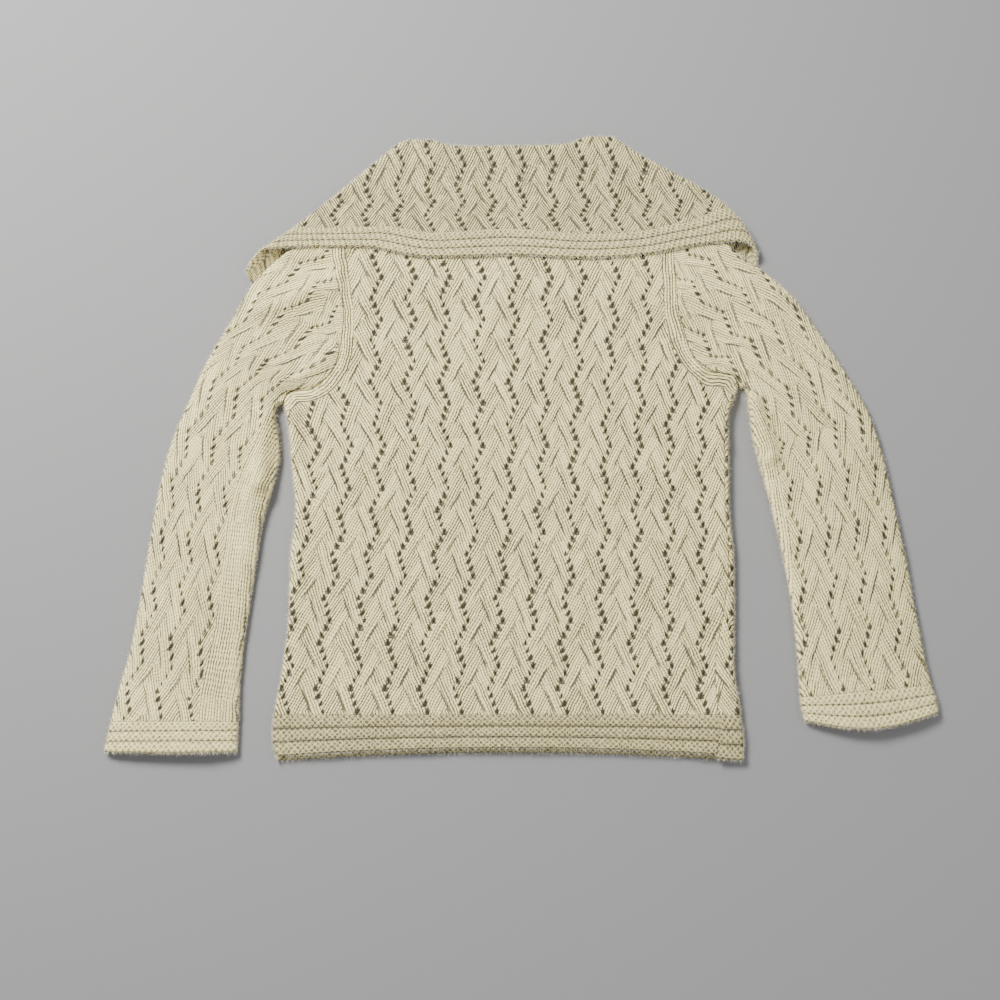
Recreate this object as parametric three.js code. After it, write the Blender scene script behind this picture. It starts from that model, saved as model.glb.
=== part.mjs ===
// A lace-knit cardigan with a wide fold-over collar, laid out flat on its fronts with the back
// uppermost. Millimetres, +Z up. Pattern coordinates: x runs across from the centre back, y runs
// from the hem (0) up to the neck. Each piece of cloth is a wall of even thickness built about a
// sheet of points, and the layers lie one on another.
import * as THREE from "three";

// ---------------------------------------------------------------- driving dimensions
const WALL = 3.0; // thickness of the brushed knit
const SEAM = 0.3; // gap left at every seam
const NECK_SEAM = 1.0; // the neckline seam follows a curve, so it is a little wider
const SLACK = 0.9; // air between two layers lying on each other
const PITCH = WALL + SLACK; // from the middle of one layer to the next
const FOLD = PITCH / 2; // radius of a fold, at the middle of the cloth
const REACH = FOLD + WALL / 2; // how far a fold stands past the flat cloth
const HALF_TURN = Math.PI * FOLD; // length of cloth in a fold

const NECK_HALF = 100; // half width of the neck at the shoulder seams
const NECK_Y = 598; // height of the neck points above the hem
const BACK_DIP = 12; // depth of the back neckline
const FRONT_DIP = 52; // depth of the front neckline

const HEM_DEPTH = 40; // the garter hem
const HEM_RISE = 8; // the hem of the back arches up in the middle
const FRONT_PEEP = 4; // the front hem shows this far below the back hem
const BORDER_SEAM = 1.5; // seam of the collar's border, measured along the collar's lines

const LIFT_FROM = 438; // above here the garment climbs on to the front of the collar
const LIFT_TO = 468;

const BODY_COLUMNS = 10; // flat columns across the back
const FOLD_STEPS = 6; // steps round a side fold that carries a whole layer
const BACK_FOLD_STEPS = 3; // steps of the back's share of a side fold
const LAST_STEP = 1.2; // longest last step before a seam
const SEAM_RUN = REACH / 2; // flat cloth before a seam that falls short of the fold
const SLEEVE_FOLD_STEPS = 4; // steps round the folded edges of a sleeve
const ROLL_STEPS = 4; // steps round the roll of the collar
const SLEEVE_CROWN = 2.4; // how far the upper side of a sleeve arches
const CROWN_ROWS = 5; // sections from the armhole to the full arch
const CURVE_FADE = 4; // how late the armhole's curve fades towards the underarm

// Body, a row for each section from the hem seam to the neck, with its left and right edges.
// fold 1 is a side or shoulder fold and 0 an armhole edge. wrap is how far the right front comes
// round the edge on to the back. back and front are the shares of the two necklines' dips that
// the row takes. room widens the seam where the armhole begins.
const BODY = [
  { lx: -229, ly: 40, rx: 223, ry: 40, fold: 1, wrap: 22, back: 0, front: 0 },
  { lx: -221, ly: 93, rx: 218, ry: 93, fold: 1, wrap: 18, back: 0, front: 0 },
  { lx: -217, ly: 143, rx: 220, ry: 143, fold: 1, wrap: 10, back: 0, front: 0 },
  { lx: -217, ly: 194, rx: 221, ry: 194, fold: 1, wrap: 5, back: 0, front: 0 },
  { lx: -213, ly: 238, rx: 218, ry: 244, fold: 1, wrap: 4, back: 0, front: 0 },
  { lx: -218, ly: 284, rx: 219, ry: 294, fold: 1, wrap: 4, back: 0, front: 0 },
  { lx: -223, ly: 330, rx: 220, ry: 340, fold: 1, wrap: 4, back: 0, front: 0 },
  { lx: -228, ly: 354, rx: 231, ry: 371, fold: 1, wrap: 4, back: 0, front: 0, room: 1 },
  { lx: -222, ly: 364, rx: 225, ry: 380, fold: 0, wrap: 0, back: 0, front: 0 },
  { lx: -197, ly: 370, rx: 204, ry: 385, fold: 0, wrap: 0, back: 0, front: 0 },
  { lx: -177, ly: 391, rx: 185, ry: 402, fold: 0, wrap: 0, back: 0, front: 0 },
  { lx: -171, ly: 418, rx: 177, ry: 428, fold: 0, wrap: 0, back: 0, front: 0 },
  { lx: -169, ly: 446, rx: 171, ry: 454, fold: 0, wrap: 0, back: 0, front: 0.02 },
  { lx: -176, ly: 480, rx: 170, ry: 484, fold: 0, wrap: 0, back: 0, front: 0.08 },
  { lx: -182, ly: 515, rx: 168, ry: 515, fold: 0, wrap: 0, back: 0.05, front: 0.25 },
  { lx: -181, ly: 546, rx: 171, ry: 548, fold: 0, wrap: 0, back: 0.2, front: 0.5 },
  { lx: -154, ly: 564, rx: 148, ry: 565, fold: 1, wrap: 0, back: 0.5, front: 0.75 },
  { lx: -127, ly: 581, rx: 124, ry: 582, fold: 1, wrap: 0, back: 0.8, front: 0.9 },
  { lx: -NECK_HALF, ly: NECK_Y, rx: NECK_HALF, ry: NECK_Y, fold: 1, wrap: 0, back: 1, front: 1 },
];
const UNDERARM_ROW = 7; // the row of BODY at the underarm
const SHOULDER_ROW = 15; // the row of BODY at the shoulder tip

// Garter hem, from its lower edge to the seam with the panels. rise is the row's share of the
// arch of the back and of the peep of the front.
const HEM = [
  { lx: -225, ly: 1, rx: 224, ry: 1, fold: 1, wrap: 26, rise: 1 },
  { lx: -230, ly: 20, rx: 225, ry: 20, fold: 1, wrap: 24, rise: 0.5 },
  { lx: -229, ly: HEM_DEPTH - SEAM, rx: 223, ry: HEM_DEPTH - SEAM, fold: 1, wrap: 22, rise: 0 },
];

// Sleeves, a row for each section from the armhole to the cuff seam: the outer and inner edges,
// and how much of the armhole's curve the section keeps.
const SLEEVES = {
  left: [
    { ox: -182, oy: 548, ix: -231, iy: 356, curve: 1 },
    { ox: -206, oy: 531, ix: -233, iy: 351.5, curve: 0.7 },
    { ox: -230, oy: 513, ix: -235, iy: 349, curve: 0.4 },
    { ox: -249, oy: 495, ix: -236.5, iy: 346, curve: 0.3 },
    { ox: -264, oy: 477, ix: -237, iy: 342, curve: 0.2 },
    { ox: -285, oy: 439, ix: -236.5, iy: 335, curve: 0.1 },
    { ox: -307, oy: 398, ix: -233.5, iy: 321, curve: 0.04 },
    { ox: -326, oy: 350, ix: -231, iy: 298, curve: 0 },
    { ox: -341, oy: 308, ix: -236, iy: 268, curve: 0 },
    { ox: -351, oy: 258, ix: -246, iy: 230, curve: 0 },
    { ox: -357, oy: 207, ix: -251, iy: 190, curve: 0 },
    { ox: -363, oy: 156, ix: -256, iy: 146, curve: 0 },
    { ox: -370, oy: 106, ix: -261, iy: 103, curve: 0 },
    { ox: -379, oy: 68, ix: -263, iy: 67, curve: 0 },
    { ox: -386, oy: 34, ix: -263, iy: 34, curve: 0 },
  ],
  right: [
    { ox: 172, oy: 550, ix: 234, iy: 373, curve: 1 },
    { ox: 194, oy: 541, ix: 236.5, iy: 369, curve: 0.55 },
    { ox: 218, oy: 526, ix: 238.5, iy: 366, curve: 0.4 },
    { ox: 239, oy: 509, ix: 239.5, iy: 363, curve: 0.3 },
    { ox: 258, oy: 494, ix: 240, iy: 359, curve: 0.25 },
    { ox: 290, oy: 464, ix: 240.5, iy: 350, curve: 0.15 },
    { ox: 322, oy: 416, ix: 241.5, iy: 336, curve: 0.04 },
    { ox: 346, oy: 374, ix: 244, iy: 314, curve: 0 },
    { ox: 364, oy: 335, ix: 250, iy: 287, curve: 0 },
    { ox: 375, oy: 290, ix: 258, iy: 254, curve: 0 },
    { ox: 382, oy: 248, ix: 265, iy: 220, curve: 0 },
    { ox: 390, oy: 198, ix: 272, iy: 180, curve: 0 },
    { ox: 397, oy: 145, ix: 277.5, iy: 138, curve: 0 },
    { ox: 403, oy: 100, ix: 280, iy: 94, curve: 0 },
    { ox: 409, oy: 69, ix: 281, iy: 57, curve: 0 },
  ],
};

// Cuffs, from the seam down; bow is how far the middle of the section hangs below its ends.
const CUFFS = {
  left: [
    { ox: -386, oy: 34 - SEAM, ix: -263, iy: 34 - SEAM, curve: 0, bow: 0 },
    { ox: -389, oy: 18, ix: -263, iy: 19, curve: 0, bow: 0 },
    { ox: -391, oy: 5, ix: -263, iy: 5, curve: 0, bow: 1 },
  ],
  right: [
    { ox: 409, oy: 69 - SEAM, ix: 281, iy: 57 - SEAM, curve: 0, bow: 0 },
    { ox: 413, oy: 54, ix: 282, iy: 44, curve: 0, bow: 6 },
    { ox: 414, oy: 42, ix: 284, iy: 34, curve: 0, bow: 11 },
  ],
};

// Collar, a row for each line from the neckline (neck) over the roll (fx, fy) to the lower edge
// (ex, ey), from one front end round the back to the other. turn is 0 under the fronts and 1 over
// the back, border is the depth of the garter border along the line, and bowx, bowy push the fall
// outwards between its ends.
const COLLAR = [
  { neck: -1, fx: -1.5, fy: 600, ex: -3, ey: 470, turn: 0, border: 28, bowx: 0, bowy: 0 },
  { neck: -40, fx: -45, fy: 605, ex: -72, ey: 472, turn: 0, border: 28, bowx: 0, bowy: 0 },
  { neck: -72, fx: -82, fy: 616, ex: -150, ey: 475, turn: 0, border: 28, bowx: 0, bowy: 0 },
  { neck: -92, fx: -106, fy: 624, ex: -220, ey: 478, turn: 0, border: 30, bowx: 0, bowy: 0 },
  { neck: -95, fx: -112, fy: 627, ex: -257, ey: 480, turn: 0, border: 42, bowx: -1, bowy: -2 },
  { neck: -97.4, fx: -116, fy: 629, ex: -265, ey: 483, turn: 0.12, border: 60, bowx: -2, bowy: -3 },
  { neck: -98.5, fx: -118, fy: 631, ex: -271, ey: 491, turn: 0.5, border: 78, bowx: -2, bowy: -5 },
  { neck: -97.4, fx: -115, fy: 633, ex: -264, ey: 505, turn: 0.85, border: 60, bowx: -2, bowy: -5 },
  { neck: -92, fx: -104, fy: 636, ex: -250, ey: 514, turn: 1, border: 42, bowx: 0, bowy: -3 },
  { neck: -72, fx: -84, fy: 636, ex: -205, ey: 517, turn: 1, border: 29, bowx: 0, bowy: 0 },
  { neck: -50, fx: -60, fy: 630, ex: -150, ey: 517, turn: 1, border: 28, bowx: 0, bowy: 0 },
  { neck: -25, fx: -30, fy: 629, ex: -82, ey: 506, turn: 1, border: 28, bowx: 0, bowy: 0 },
  { neck: 0, fx: 0, fy: 630, ex: 0, ey: 508, turn: 1, border: 28, bowx: 0, bowy: 0 },
  { neck: 25, fx: 30, fy: 630, ex: 80, ey: 505, turn: 1, border: 28, bowx: 0, bowy: 0 },
  { neck: 50, fx: 60, fy: 632, ex: 140, ey: 509, turn: 1, border: 28, bowx: 0, bowy: 0 },
  { neck: 72, fx: 84, fy: 640, ex: 192, ey: 519, turn: 1, border: 29, bowx: 3, bowy: 2 },
  { neck: 92, fx: 104, fy: 640, ex: 234, ey: 523, turn: 1, border: 42, bowx: 10, bowy: 6 },
  { neck: 97.4, fx: 115, fy: 635, ex: 248, ey: 519, turn: 0.85, border: 50, bowx: 16, bowy: 8 },
  { neck: 98.5, fx: 120, fy: 630, ex: 254.5, ey: 511, turn: 0.5, border: 58, bowx: 17, bowy: 8 },
  { neck: 97.4, fx: 117, fy: 628, ex: 256, ey: 503, turn: 0.12, border: 60, bowx: 14, bowy: 6 },
  { neck: 92, fx: 106, fy: 624, ex: 246, ey: 493, turn: 0, border: 42, bowx: 8, bowy: 3 },
  { neck: 72, fx: 82, fy: 616, ex: 160, ey: 484, turn: 0, border: 29, bowx: 0, bowy: 0 },
  { neck: 40, fx: 45, fy: 605, ex: 76, ey: 476, turn: 0, border: 28, bowx: 0, bowy: 0 },
  { neck: 1, fx: 1.5, fy: 600, ex: 3, ey: 470, turn: 0, border: 28, bowx: 0, bowy: 0 },
];
const SPOKES_BETWEEN = 1; // collar lines added between two rows of the table
const NECK_CORNER = 1.7; // more room where the collar turns over the shoulder seams
const NECK_UPRIGHT = 3; // the stand first rises straight from the neckline
const STAND_STATIONS = [0.5];
const FALL_STATIONS = [0.14, 0.46, 0.84, 1];
const BORDER_STATIONS = [0, 0.5, 1];
const BOW_SKEW = 1.5; // above 1 the fall bows out most below its middle
const STAND_LAYERS = [1, 2]; // layers of cloth under the stand, at the fronts and at the back
const FALL_LAYERS = [0, 3]; // layers of cloth under the fall, at the fronts and at the back

// Soft ridges on the upper cloth: the line, half width and height of each.
const CREASES = [
  { x0: -228, y0: 370, x1: -186, y1: 390, width: 9, height: 2.2 },
  { x0: -178, y0: 487, x1: -255, y1: 452, width: 13, height: 2.2 },
  { x0: -236, y0: 330, x1: -262, y1: 262, width: 10, height: 1.8 },
  { x0: 200, y0: 404, x1: 238, y1: 392, width: 8, height: 2.4 },
  { x0: 236, y0: 372, x1: 262, y1: 300, width: 10, height: 2.2 },
  { x0: 176, y0: 470, x1: 173, y1: 430, width: 9, height: 1.6 },
  { x0: 300, y0: 300, x1: 322, y1: 180, width: 22, height: 1.4 },
  { x0: -150, y0: 300, x1: -190, y1: 200, width: 26, height: 1.2 },
];

const CLOTH = { color: 0xcfc19c, roughness: 0.95, metalness: 0 };

// ---------------------------------------------------------------- small sums
const mix = (a, b, t) => a + (b - a) * t;
// 1 in the middle, falling to 0 at t = -1 and t = 1.
const parabola = (t) => 1 - t * t;

function smoothstep(from, to, value) {
  const t = Math.min(1, Math.max(0, (value - from) / (to - from)));
  return t * t * (3 - 2 * t);
}

function mixRows(a, b, t) {
  const row = {};
  for (const key of Object.keys(a)) row[key] = mix(a[key], b[key], t);
  return row;
}

// How far the garment is held up by the front of the collar under it.
const lift = (y) => PITCH * smoothstep(LIFT_FROM, LIFT_TO, y);

// Height of the creases at a point.
function creaseHeight(x, y) {
  let height = 0;
  for (const c of CREASES) {
    const dx = c.x1 - c.x0;
    const dy = c.y1 - c.y0;
    const along = ((x - c.x0) * dx + (y - c.y0) * dy) / (dx * dx + dy * dy);
    const t = Math.min(1, Math.max(0, along));
    const away = Math.hypot(x - c.x0 - t * dx, y - c.y0 - t * dy) / c.width;
    height += c.height * Math.exp(-away * away);
  }
  return height;
}

const lowerLayer = (x, y) => WALL / 2 + lift(y);
const upperLayer = (x, y, extra = 0) => WALL / 2 + PITCH + lift(y) + creaseHeight(x, y) + extra;

// ---------------------------------------------------------------- cloth from a sheet of points
// The direction of a line of points at one of them. At an end it follows the curve through the
// last three.
function tangent(line, k, closed) {
  const count = line.length;
  if (closed) return line[(k + 1) % count].clone().sub(line[(k - 1 + count) % count]);
  if (k > 0 && k < count - 1) return line[k + 1].clone().sub(line[k - 1]);
  const step = k === 0 ? 1 : -1;
  const near = line[k + step].clone().sub(line[k]);
  if (count < 3) return near.multiplyScalar(step);
  const far = line[k + 2 * step].clone().sub(line[k]);
  const reach = near.length();
  const span = reach + line[k + 2 * step].distanceTo(line[k + step]);
  near.multiplyScalar(span / reach).addScaledVector(far, -reach / span);
  return near.multiplyScalar(step);
}

// A spot is a point in the middle of the cloth, with the way that its outer face looks where that
// is known beforehand.
const spot = (at, facing = null) => ({ at, facing });
const UP = new THREE.Vector3(0, 0, 1);
const DOWN = new THREE.Vector3(0, 0, -1);

// rows[i][j] are spots. Each one that has no facing yet gets the way that the sheet looks there.
function faced(rows, closed = false) {
  const lines = rows.map((row) => row.map((place) => place.at));
  const columns = lines[0].map((_, j) => lines.map((line) => line[j]));
  return rows.map((row, i) => row.map(({ at, facing }, j) => {
    if (facing) return spot(at, facing);
    return spot(at, tangent(columns[j], i, false).cross(tangent(lines[i], j, closed)).normalize());
  }));
}

// The wall stands half its thickness to either side of the sheet's spots.
function clothSolid(rows, closed = false) {
  const sheet = faced(rows, closed);
  const last = rows[0].length - 1;
  const positions = [];
  for (const side of [WALL / 2, -WALL / 2]) {
    for (const { at, facing } of sheet.flat()) positions.push(at.clone().addScaledVector(facing, side));
  }
  const width = last + 1;
  const skin = rows.length * width;
  const triangles = [];
  const quad = (a, b, c, d) => triangles.push([a, b, c], [a, c, d]);
  const strips = closed ? width : last;
  for (let i = 0; i < rows.length - 1; i += 1) {
    for (let j = 0; j < strips; j += 1) {
      const k = (j + 1) % width;
      const [a, b, c, d] = [i * width + j, i * width + k, (i + 1) * width + k, (i + 1) * width + j];
      quad(a, d, c, b);
      quad(skin + a, skin + b, skin + c, skin + d);
    }
    if (!closed) {
      quad(i * width, skin + i * width, skin + (i + 1) * width, (i + 1) * width);
      const e = i * width + last;
      quad(e, e + width, skin + e + width, skin + e);
    }
  }
  const end = (rows.length - 1) * width;
  for (let j = 0; j < strips; j += 1) {
    const k = (j + 1) % width;
    quad(j, k, skin + k, skin + j);
    quad(end + j, skin + end + j, skin + end + k, end + k);
  }
  return solidGeometry(positions, triangles);
}

// An indexed geometry whose faces point out, whichever way the sheet was listed.
function solidGeometry(positions, triangles) {
  let volume = 0;
  for (const [a, b, c] of triangles) {
    volume += positions[a].dot(positions[b].clone().cross(positions[c]));
  }
  const geometry = new THREE.BufferGeometry();
  geometry.setFromPoints(positions);
  geometry.setIndex(triangles.flatMap(([a, b, c]) => (volume > 0 ? [a, b, c] : [a, c, b])));
  geometry.computeVertexNormals();
  return geometry;
}

// ---------------------------------------------------------------- body panels and hems
// A point of a body row, measured from where its layer stops being flat: on the flat cloth for a
// negative distance, then round the fold, then back along the other layer.
function edgePoint(row, side, layer, distance, y) {
  const outer = side < 0 ? row.lx : row.rx;
  const flatEnd = outer - side * REACH;
  const facing = layer === "upper" ? UP : DOWN;
  const flat = layerSpot(layer, flatEnd + side * distance, y);
  if (distance <= 0 || row.fold === 0) return flat;
  if (distance >= HALF_TURN) return layerSpot("upper", flatEnd - side * (distance - HALF_TURN), y);
  const angle = distance / FOLD;
  const start = layerSpot(layer, flatEnd, y).at;
  const middle = start.clone().addScaledVector(facing, -FOLD);
  const turned = facing.clone().multiplyScalar(Math.cos(angle));
  turned.x = side * Math.sin(angle);
  return spot(middle.addScaledVector(turned, FOLD), turned);
}

// A spot on one of the two flat layers.
function layerSpot(layer, x, y, extra = 0) {
  if (layer === "upper") return spot(new THREE.Vector3(x, y, upperLayer(x, y, extra)), UP);
  return spot(new THREE.Vector3(x, y, lowerLayer(x, y)), DOWN);
}

// Distance from the flat cloth to the seam, on the front and on the back. The left side seam and
// the shoulder seams are half way round the fold. The right front takes the whole fold and comes
// on to the back by wrap. An armhole edge is flat and has no fold.
function seamDistance(row, side, layer) {
  const wrapped = side > 0 ? row.wrap : 0;
  const frontPart = wrapped > 0 ? Math.max(HALF_TURN / 2, HALF_TURN + wrapped - REACH) : HALF_TURN / 2;
  const backPart = HALF_TURN - frontPart;
  const folded = layer === "lower" ? frontPart : backPart;
  return mix(REACH, folded, row.fold) - (SEAM + (row.room ?? 0)) / 2;
}

// The height of a body row at x, with the neckline's dip or the hem's arch.
function rowY(row, x, layer) {
  const y = mix(row.ly, row.ry, (x - row.lx) / (row.rx - row.lx));
  const spread = parabola((2 * (x - row.lx)) / (row.rx - row.lx) - 1);
  if (row.rise !== undefined) {
    const peep = layer === "lower" ? FRONT_PEEP * row.rise : 0;
    return y + HEM_RISE * row.rise * spread - peep;
  }
  const dip = layer === "upper" ? BACK_DIP * row.back : FRONT_DIP * row.front;
  return y - dip * spread;
}

// One row of points of a panel that runs from one seam to the other, or to the centre front.
function panelRow(row, layer, from, to, columns) {
  const points = [];
  const ends = [from, to].map((side) => {
    if (side === 0) return null;
    const seam = seamDistance(row, side, layer);
    const flat = Math.min(0, seam - SEAM_RUN);
    const count = layer === "lower" ? FOLD_STEPS : BACK_FOLD_STEPS;
    const steps = [];
    for (let k = 1; k <= count - 2; k += 1) {
      steps.push(Math.min(mix(flat, seam, k / count), (k * HALF_TURN) / (count - 2)));
    }
    steps.push(seam - Math.min(LAST_STEP, (seam - flat) / count), seam);
    const outer = side < 0 ? row.lx : row.rx;
    return { flat: outer - side * (REACH - flat), steps };
  });
  const startX = from === 0 ? SEAM : ends[0].flat;
  const endX = to === 0 ? -SEAM : ends[1].flat;
  if (from !== 0) {
    const y = rowY(row, row.lx + REACH, layer);
    for (const step of [...ends[0].steps].reverse()) points.push(edgePoint(row, from, layer, step, y));
  }
  for (let k = 0; k <= columns; k += 1) {
    const x = mix(startX, endX, k / columns);
    points.push(layerSpot(layer, x, rowY(row, x, layer)));
  }
  if (to !== 0) {
    const y = rowY(row, row.rx - REACH, layer);
    for (const step of ends[1].steps) points.push(edgePoint(row, to, layer, step, y));
  }
  return points;
}

const backPanel = (rows) => clothSolid(rows.map((row) => panelRow(row, "upper", -1, 1, BODY_COLUMNS)));
const leftFront = (rows) => clothSolid(rows.map((row) => panelRow(row, "lower", -1, 0, BODY_COLUMNS / 2)));
const rightFront = (rows) => clothSolid(rows.map((row) => panelRow(row, "lower", 0, 1, BODY_COLUMNS / 2)));

// ---------------------------------------------------------------- sleeves and cuffs
// The armhole from the shoulder tip to the underarm, with the share of the way along each point.
function armhole(side) {
  const rows = BODY.slice(UNDERARM_ROW, SHOULDER_ROW + 1).reverse();
  const points = rows.map((row) => (side < 0 ? [row.lx, row.ly] : [row.rx, row.ry]));
  let length = 0;
  const along = points.map(([x, y], k) => {
    if (k > 0) length += Math.hypot(x - points[k - 1][0], y - points[k - 1][1]);
    return length;
  });
  return points.map(([x, y], k) => {
    const t = along[k] / length;
    const chord = [mix(points[0][0], points.at(-1)[0], t), mix(points[0][1], points.at(-1)[1], t)];
    return { t, dx: x - chord[0], dy: y - chord[1] };
  });
}

// A closed section of the sleeve: over the top from the outer edge, round the inner fold, back
// underneath, and round the outer fold.
function sleeveRing(row, index, side) {
  const line = new THREE.Vector2(row.ix - row.ox, row.iy - row.oy).normalize();
  const inset = index === 0 ? 0 : REACH;
  const crown = SLEEVE_CROWN * Math.min(1, index / CROWN_ROWS);
  const start = [row.ox + line.x * inset, row.oy + line.y * inset];
  const end = [row.ix - line.x * inset, row.iy - line.y * inset];
  const plan = armhole(side).map(({ t, dx, dy }) => {
    const arch = Math.sin(Math.PI * t);
    const keep = index === 0 ? 1 : row.curve * (1 - t ** CURVE_FADE);
    const x = mix(start[0], end[0], t) + dx * keep + side * SEAM * arch;
    const y = mix(start[1], end[1], t) + dy * keep - (row.bow ?? 0) * arch;
    return { x, y, arch };
  });
  const ring = plan.map(({ x, y, arch }) => layerSpot("upper", x, y, crown * arch));
  // Round a fold, outwards along the section (1) or back (-1), downwards or upwards.
  const turn = ({ x, y }, outwards, from) => {
    const top = upperLayer(x, y);
    const bottom = lowerLayer(x, y);
    for (let k = 1; k < SLEEVE_FOLD_STEPS; k += 1) {
      const angle = (Math.PI * k) / SLEEVE_FOLD_STEPS;
      const out = outwards * Math.sin(angle);
      const facing = new THREE.Vector3(line.x * out, line.y * out, from * Math.cos(angle));
      const at = new THREE.Vector3(x, y, (top + bottom) / 2);
      at.add(facing.clone().multiply(new THREE.Vector3(FOLD, FOLD, (top - bottom) / 2)));
      ring.push(spot(at, facing));
    }
  };
  turn(plan.at(-1), 1, 1);
  for (const { x, y } of [...plan].reverse()) ring.push(layerSpot("lower", x, y));
  turn(plan[0], -1, -1);
  return ring;
}

function sleeveTube(rows, side, firstIndex) {
  return clothSolid(rows.map((row, k) => sleeveRing(row, k + firstIndex, side)), true);
}

// ---------------------------------------------------------------- collar
// One line of the collar from the neckline, over the roll and down the fall to the edge.
function collarLine(spoke) {
  const side = Math.sign(spoke.neck);
  const swing = Math.PI * spoke.turn;
  const out = new THREE.Vector3(side * Math.sin(swing), 0, -Math.cos(swing));
  const up = new THREE.Vector3(0, 1, 0);
  const dip = mix(FRONT_DIP, BACK_DIP, spoke.turn);
  const spread = parabola(spoke.neck / NECK_HALF);
  const standLevel = WALL / 2 + PITCH * mix(...STAND_LAYERS, spoke.turn);
  const fallLevel = WALL / 2 + PITCH * mix(...FALL_LAYERS, spoke.turn);
  const seam = NECK_SEAM + NECK_CORNER * Math.sin(swing);
  const neck = new THREE.Vector3(spoke.neck, NECK_Y - dip * spread + seam, standLevel);
  const middle = new THREE.Vector3(spoke.fx, spoke.fy - REACH, (standLevel + fallLevel) / 2);
  const rollPoint = (angle) => middle.clone()
    .addScaledVector(out, -FOLD * Math.cos(angle))
    .addScaledVector(up, FOLD * Math.sin(angle));
  const rollStart = rollPoint(0);
  const rollEnd = rollPoint(Math.PI);
  const edge = new THREE.Vector3(spoke.ex, spoke.ey, fallLevel);
  const fallPoint = (t) => {
    const point = rollEnd.clone().lerp(edge, t);
    const bow = Math.sin(Math.PI * t ** BOW_SKEW);
    point.x += spoke.bowx * bow;
    point.y += spoke.bowy * bow;
    return point;
  };
  return { neck, rollStart, rollPoint, fallPoint, length: rollEnd.distanceTo(edge) };
}

function collarSpokes() {
  const spokes = [];
  for (let k = 0; k < COLLAR.length - 1; k += 1) {
    for (let part = 0; part <= SPOKES_BETWEEN; part += 1) {
      spokes.push(mixRows(COLLAR[k], COLLAR[k + 1], part / (SPOKES_BETWEEN + 1)));
    }
  }
  spokes.push(COLLAR.at(-1));
  return spokes;
}

// The spots of one collar line: first the collar's, then the border's.
function collarRow(spoke) {
  const line = collarLine(spoke);
  const seam = 1 - spoke.border / line.length;
  const borderStart = 1 - (spoke.border - BORDER_SEAM) / line.length;
  const upright = line.neck.clone();
  upright.y += NECK_UPRIGHT;
  const points = [line.neck, upright];
  for (const t of STAND_STATIONS) points.push(upright.clone().lerp(line.rollStart, t));
  for (let k = 0; k <= ROLL_STEPS; k += 1) points.push(line.rollPoint((Math.PI * k) / ROLL_STEPS));
  for (const t of FALL_STATIONS) points.push(line.fallPoint(t * seam));
  for (const t of BORDER_STATIONS) points.push(line.fallPoint(mix(borderStart, 1, t)));
  return points.map((at) => spot(at));
}

// ---------------------------------------------------------------- the garment
const garment = new THREE.Group();

function addPiece(name, geometry) {
  const piece = new THREE.Mesh(geometry, new THREE.MeshStandardMaterial({ ...CLOTH }));
  piece.name = name;
  garment.add(piece);
}

addPiece("back", backPanel(BODY));
addPiece("front_left", leftFront(BODY));
addPiece("front_right", rightFront(BODY));
addPiece("hem_back", backPanel(HEM));
addPiece("hem_front_left", leftFront(HEM));
addPiece("hem_front_right", rightFront(HEM));
for (const [name, side] of [["left", -1], ["right", 1]]) {
  addPiece(`sleeve_${name}`, sleeveTube(SLEEVES[name], side, 0));
  addPiece(`cuff_${name}`, sleeveTube(CUFFS[name], side, CROWN_ROWS));
}
const collarSheet = faced(collarSpokes().map(collarRow));
addPiece("collar", clothSolid(collarSheet.map((row) => row.slice(0, -BORDER_STATIONS.length))));
addPiece("collar_border", clothSolid(collarSheet.map((row) => row.slice(-BORDER_STATIONS.length))));

// The origin is the middle of the outline, on the surface that the garment lies on.
const outline = new THREE.Box3().setFromObject(garment);
const middleOfOutline = outline.getCenter(new THREE.Vector3());
garment.position.set(-middleOfOutline.x, -middleOfOutline.y, -outline.min.z);

export default garment;
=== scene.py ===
"""A lace-knit cardigan with a wide fold-over collar, lying on its fronts with the back uppermost.

The solids of the frame give the place and the size of every piece. Each piece is made again here as
a thin shell of knit: a sheet of points in the middle of the cloth, a skin on either side of it, a
rounded rim, and a map of stitches that the finishes read. Lengths in the tables are millimetres in
the garment's own pattern: x across from the centre back, y up from the hem.
"""

import logging
import math
from dataclasses import dataclass, fields
from enum import Enum
from typing import Sequence

import bpy
import numpy as np
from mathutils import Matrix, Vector


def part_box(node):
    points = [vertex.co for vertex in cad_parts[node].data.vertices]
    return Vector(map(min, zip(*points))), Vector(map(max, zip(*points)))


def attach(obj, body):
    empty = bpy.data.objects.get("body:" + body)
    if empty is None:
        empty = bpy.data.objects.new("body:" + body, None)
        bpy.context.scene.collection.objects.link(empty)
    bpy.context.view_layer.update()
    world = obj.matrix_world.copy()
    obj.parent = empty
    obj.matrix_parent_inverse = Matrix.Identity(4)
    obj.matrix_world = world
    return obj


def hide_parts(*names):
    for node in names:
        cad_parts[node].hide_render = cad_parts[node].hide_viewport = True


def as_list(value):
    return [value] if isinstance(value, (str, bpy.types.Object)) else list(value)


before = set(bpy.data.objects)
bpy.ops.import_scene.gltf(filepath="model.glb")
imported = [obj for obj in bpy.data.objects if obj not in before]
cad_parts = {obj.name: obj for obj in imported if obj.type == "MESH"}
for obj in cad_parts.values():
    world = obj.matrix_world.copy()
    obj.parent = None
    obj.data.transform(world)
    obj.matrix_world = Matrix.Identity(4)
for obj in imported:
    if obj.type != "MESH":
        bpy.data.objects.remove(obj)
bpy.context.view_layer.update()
LOG = logging.getLogger("cardigan")

MM = 0.001


# ------------------------------------------------------------------------------ sizes
class Side(Enum):
    """The two sides of the garment as it lies."""

    LEFT = -1
    RIGHT = 1


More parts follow.
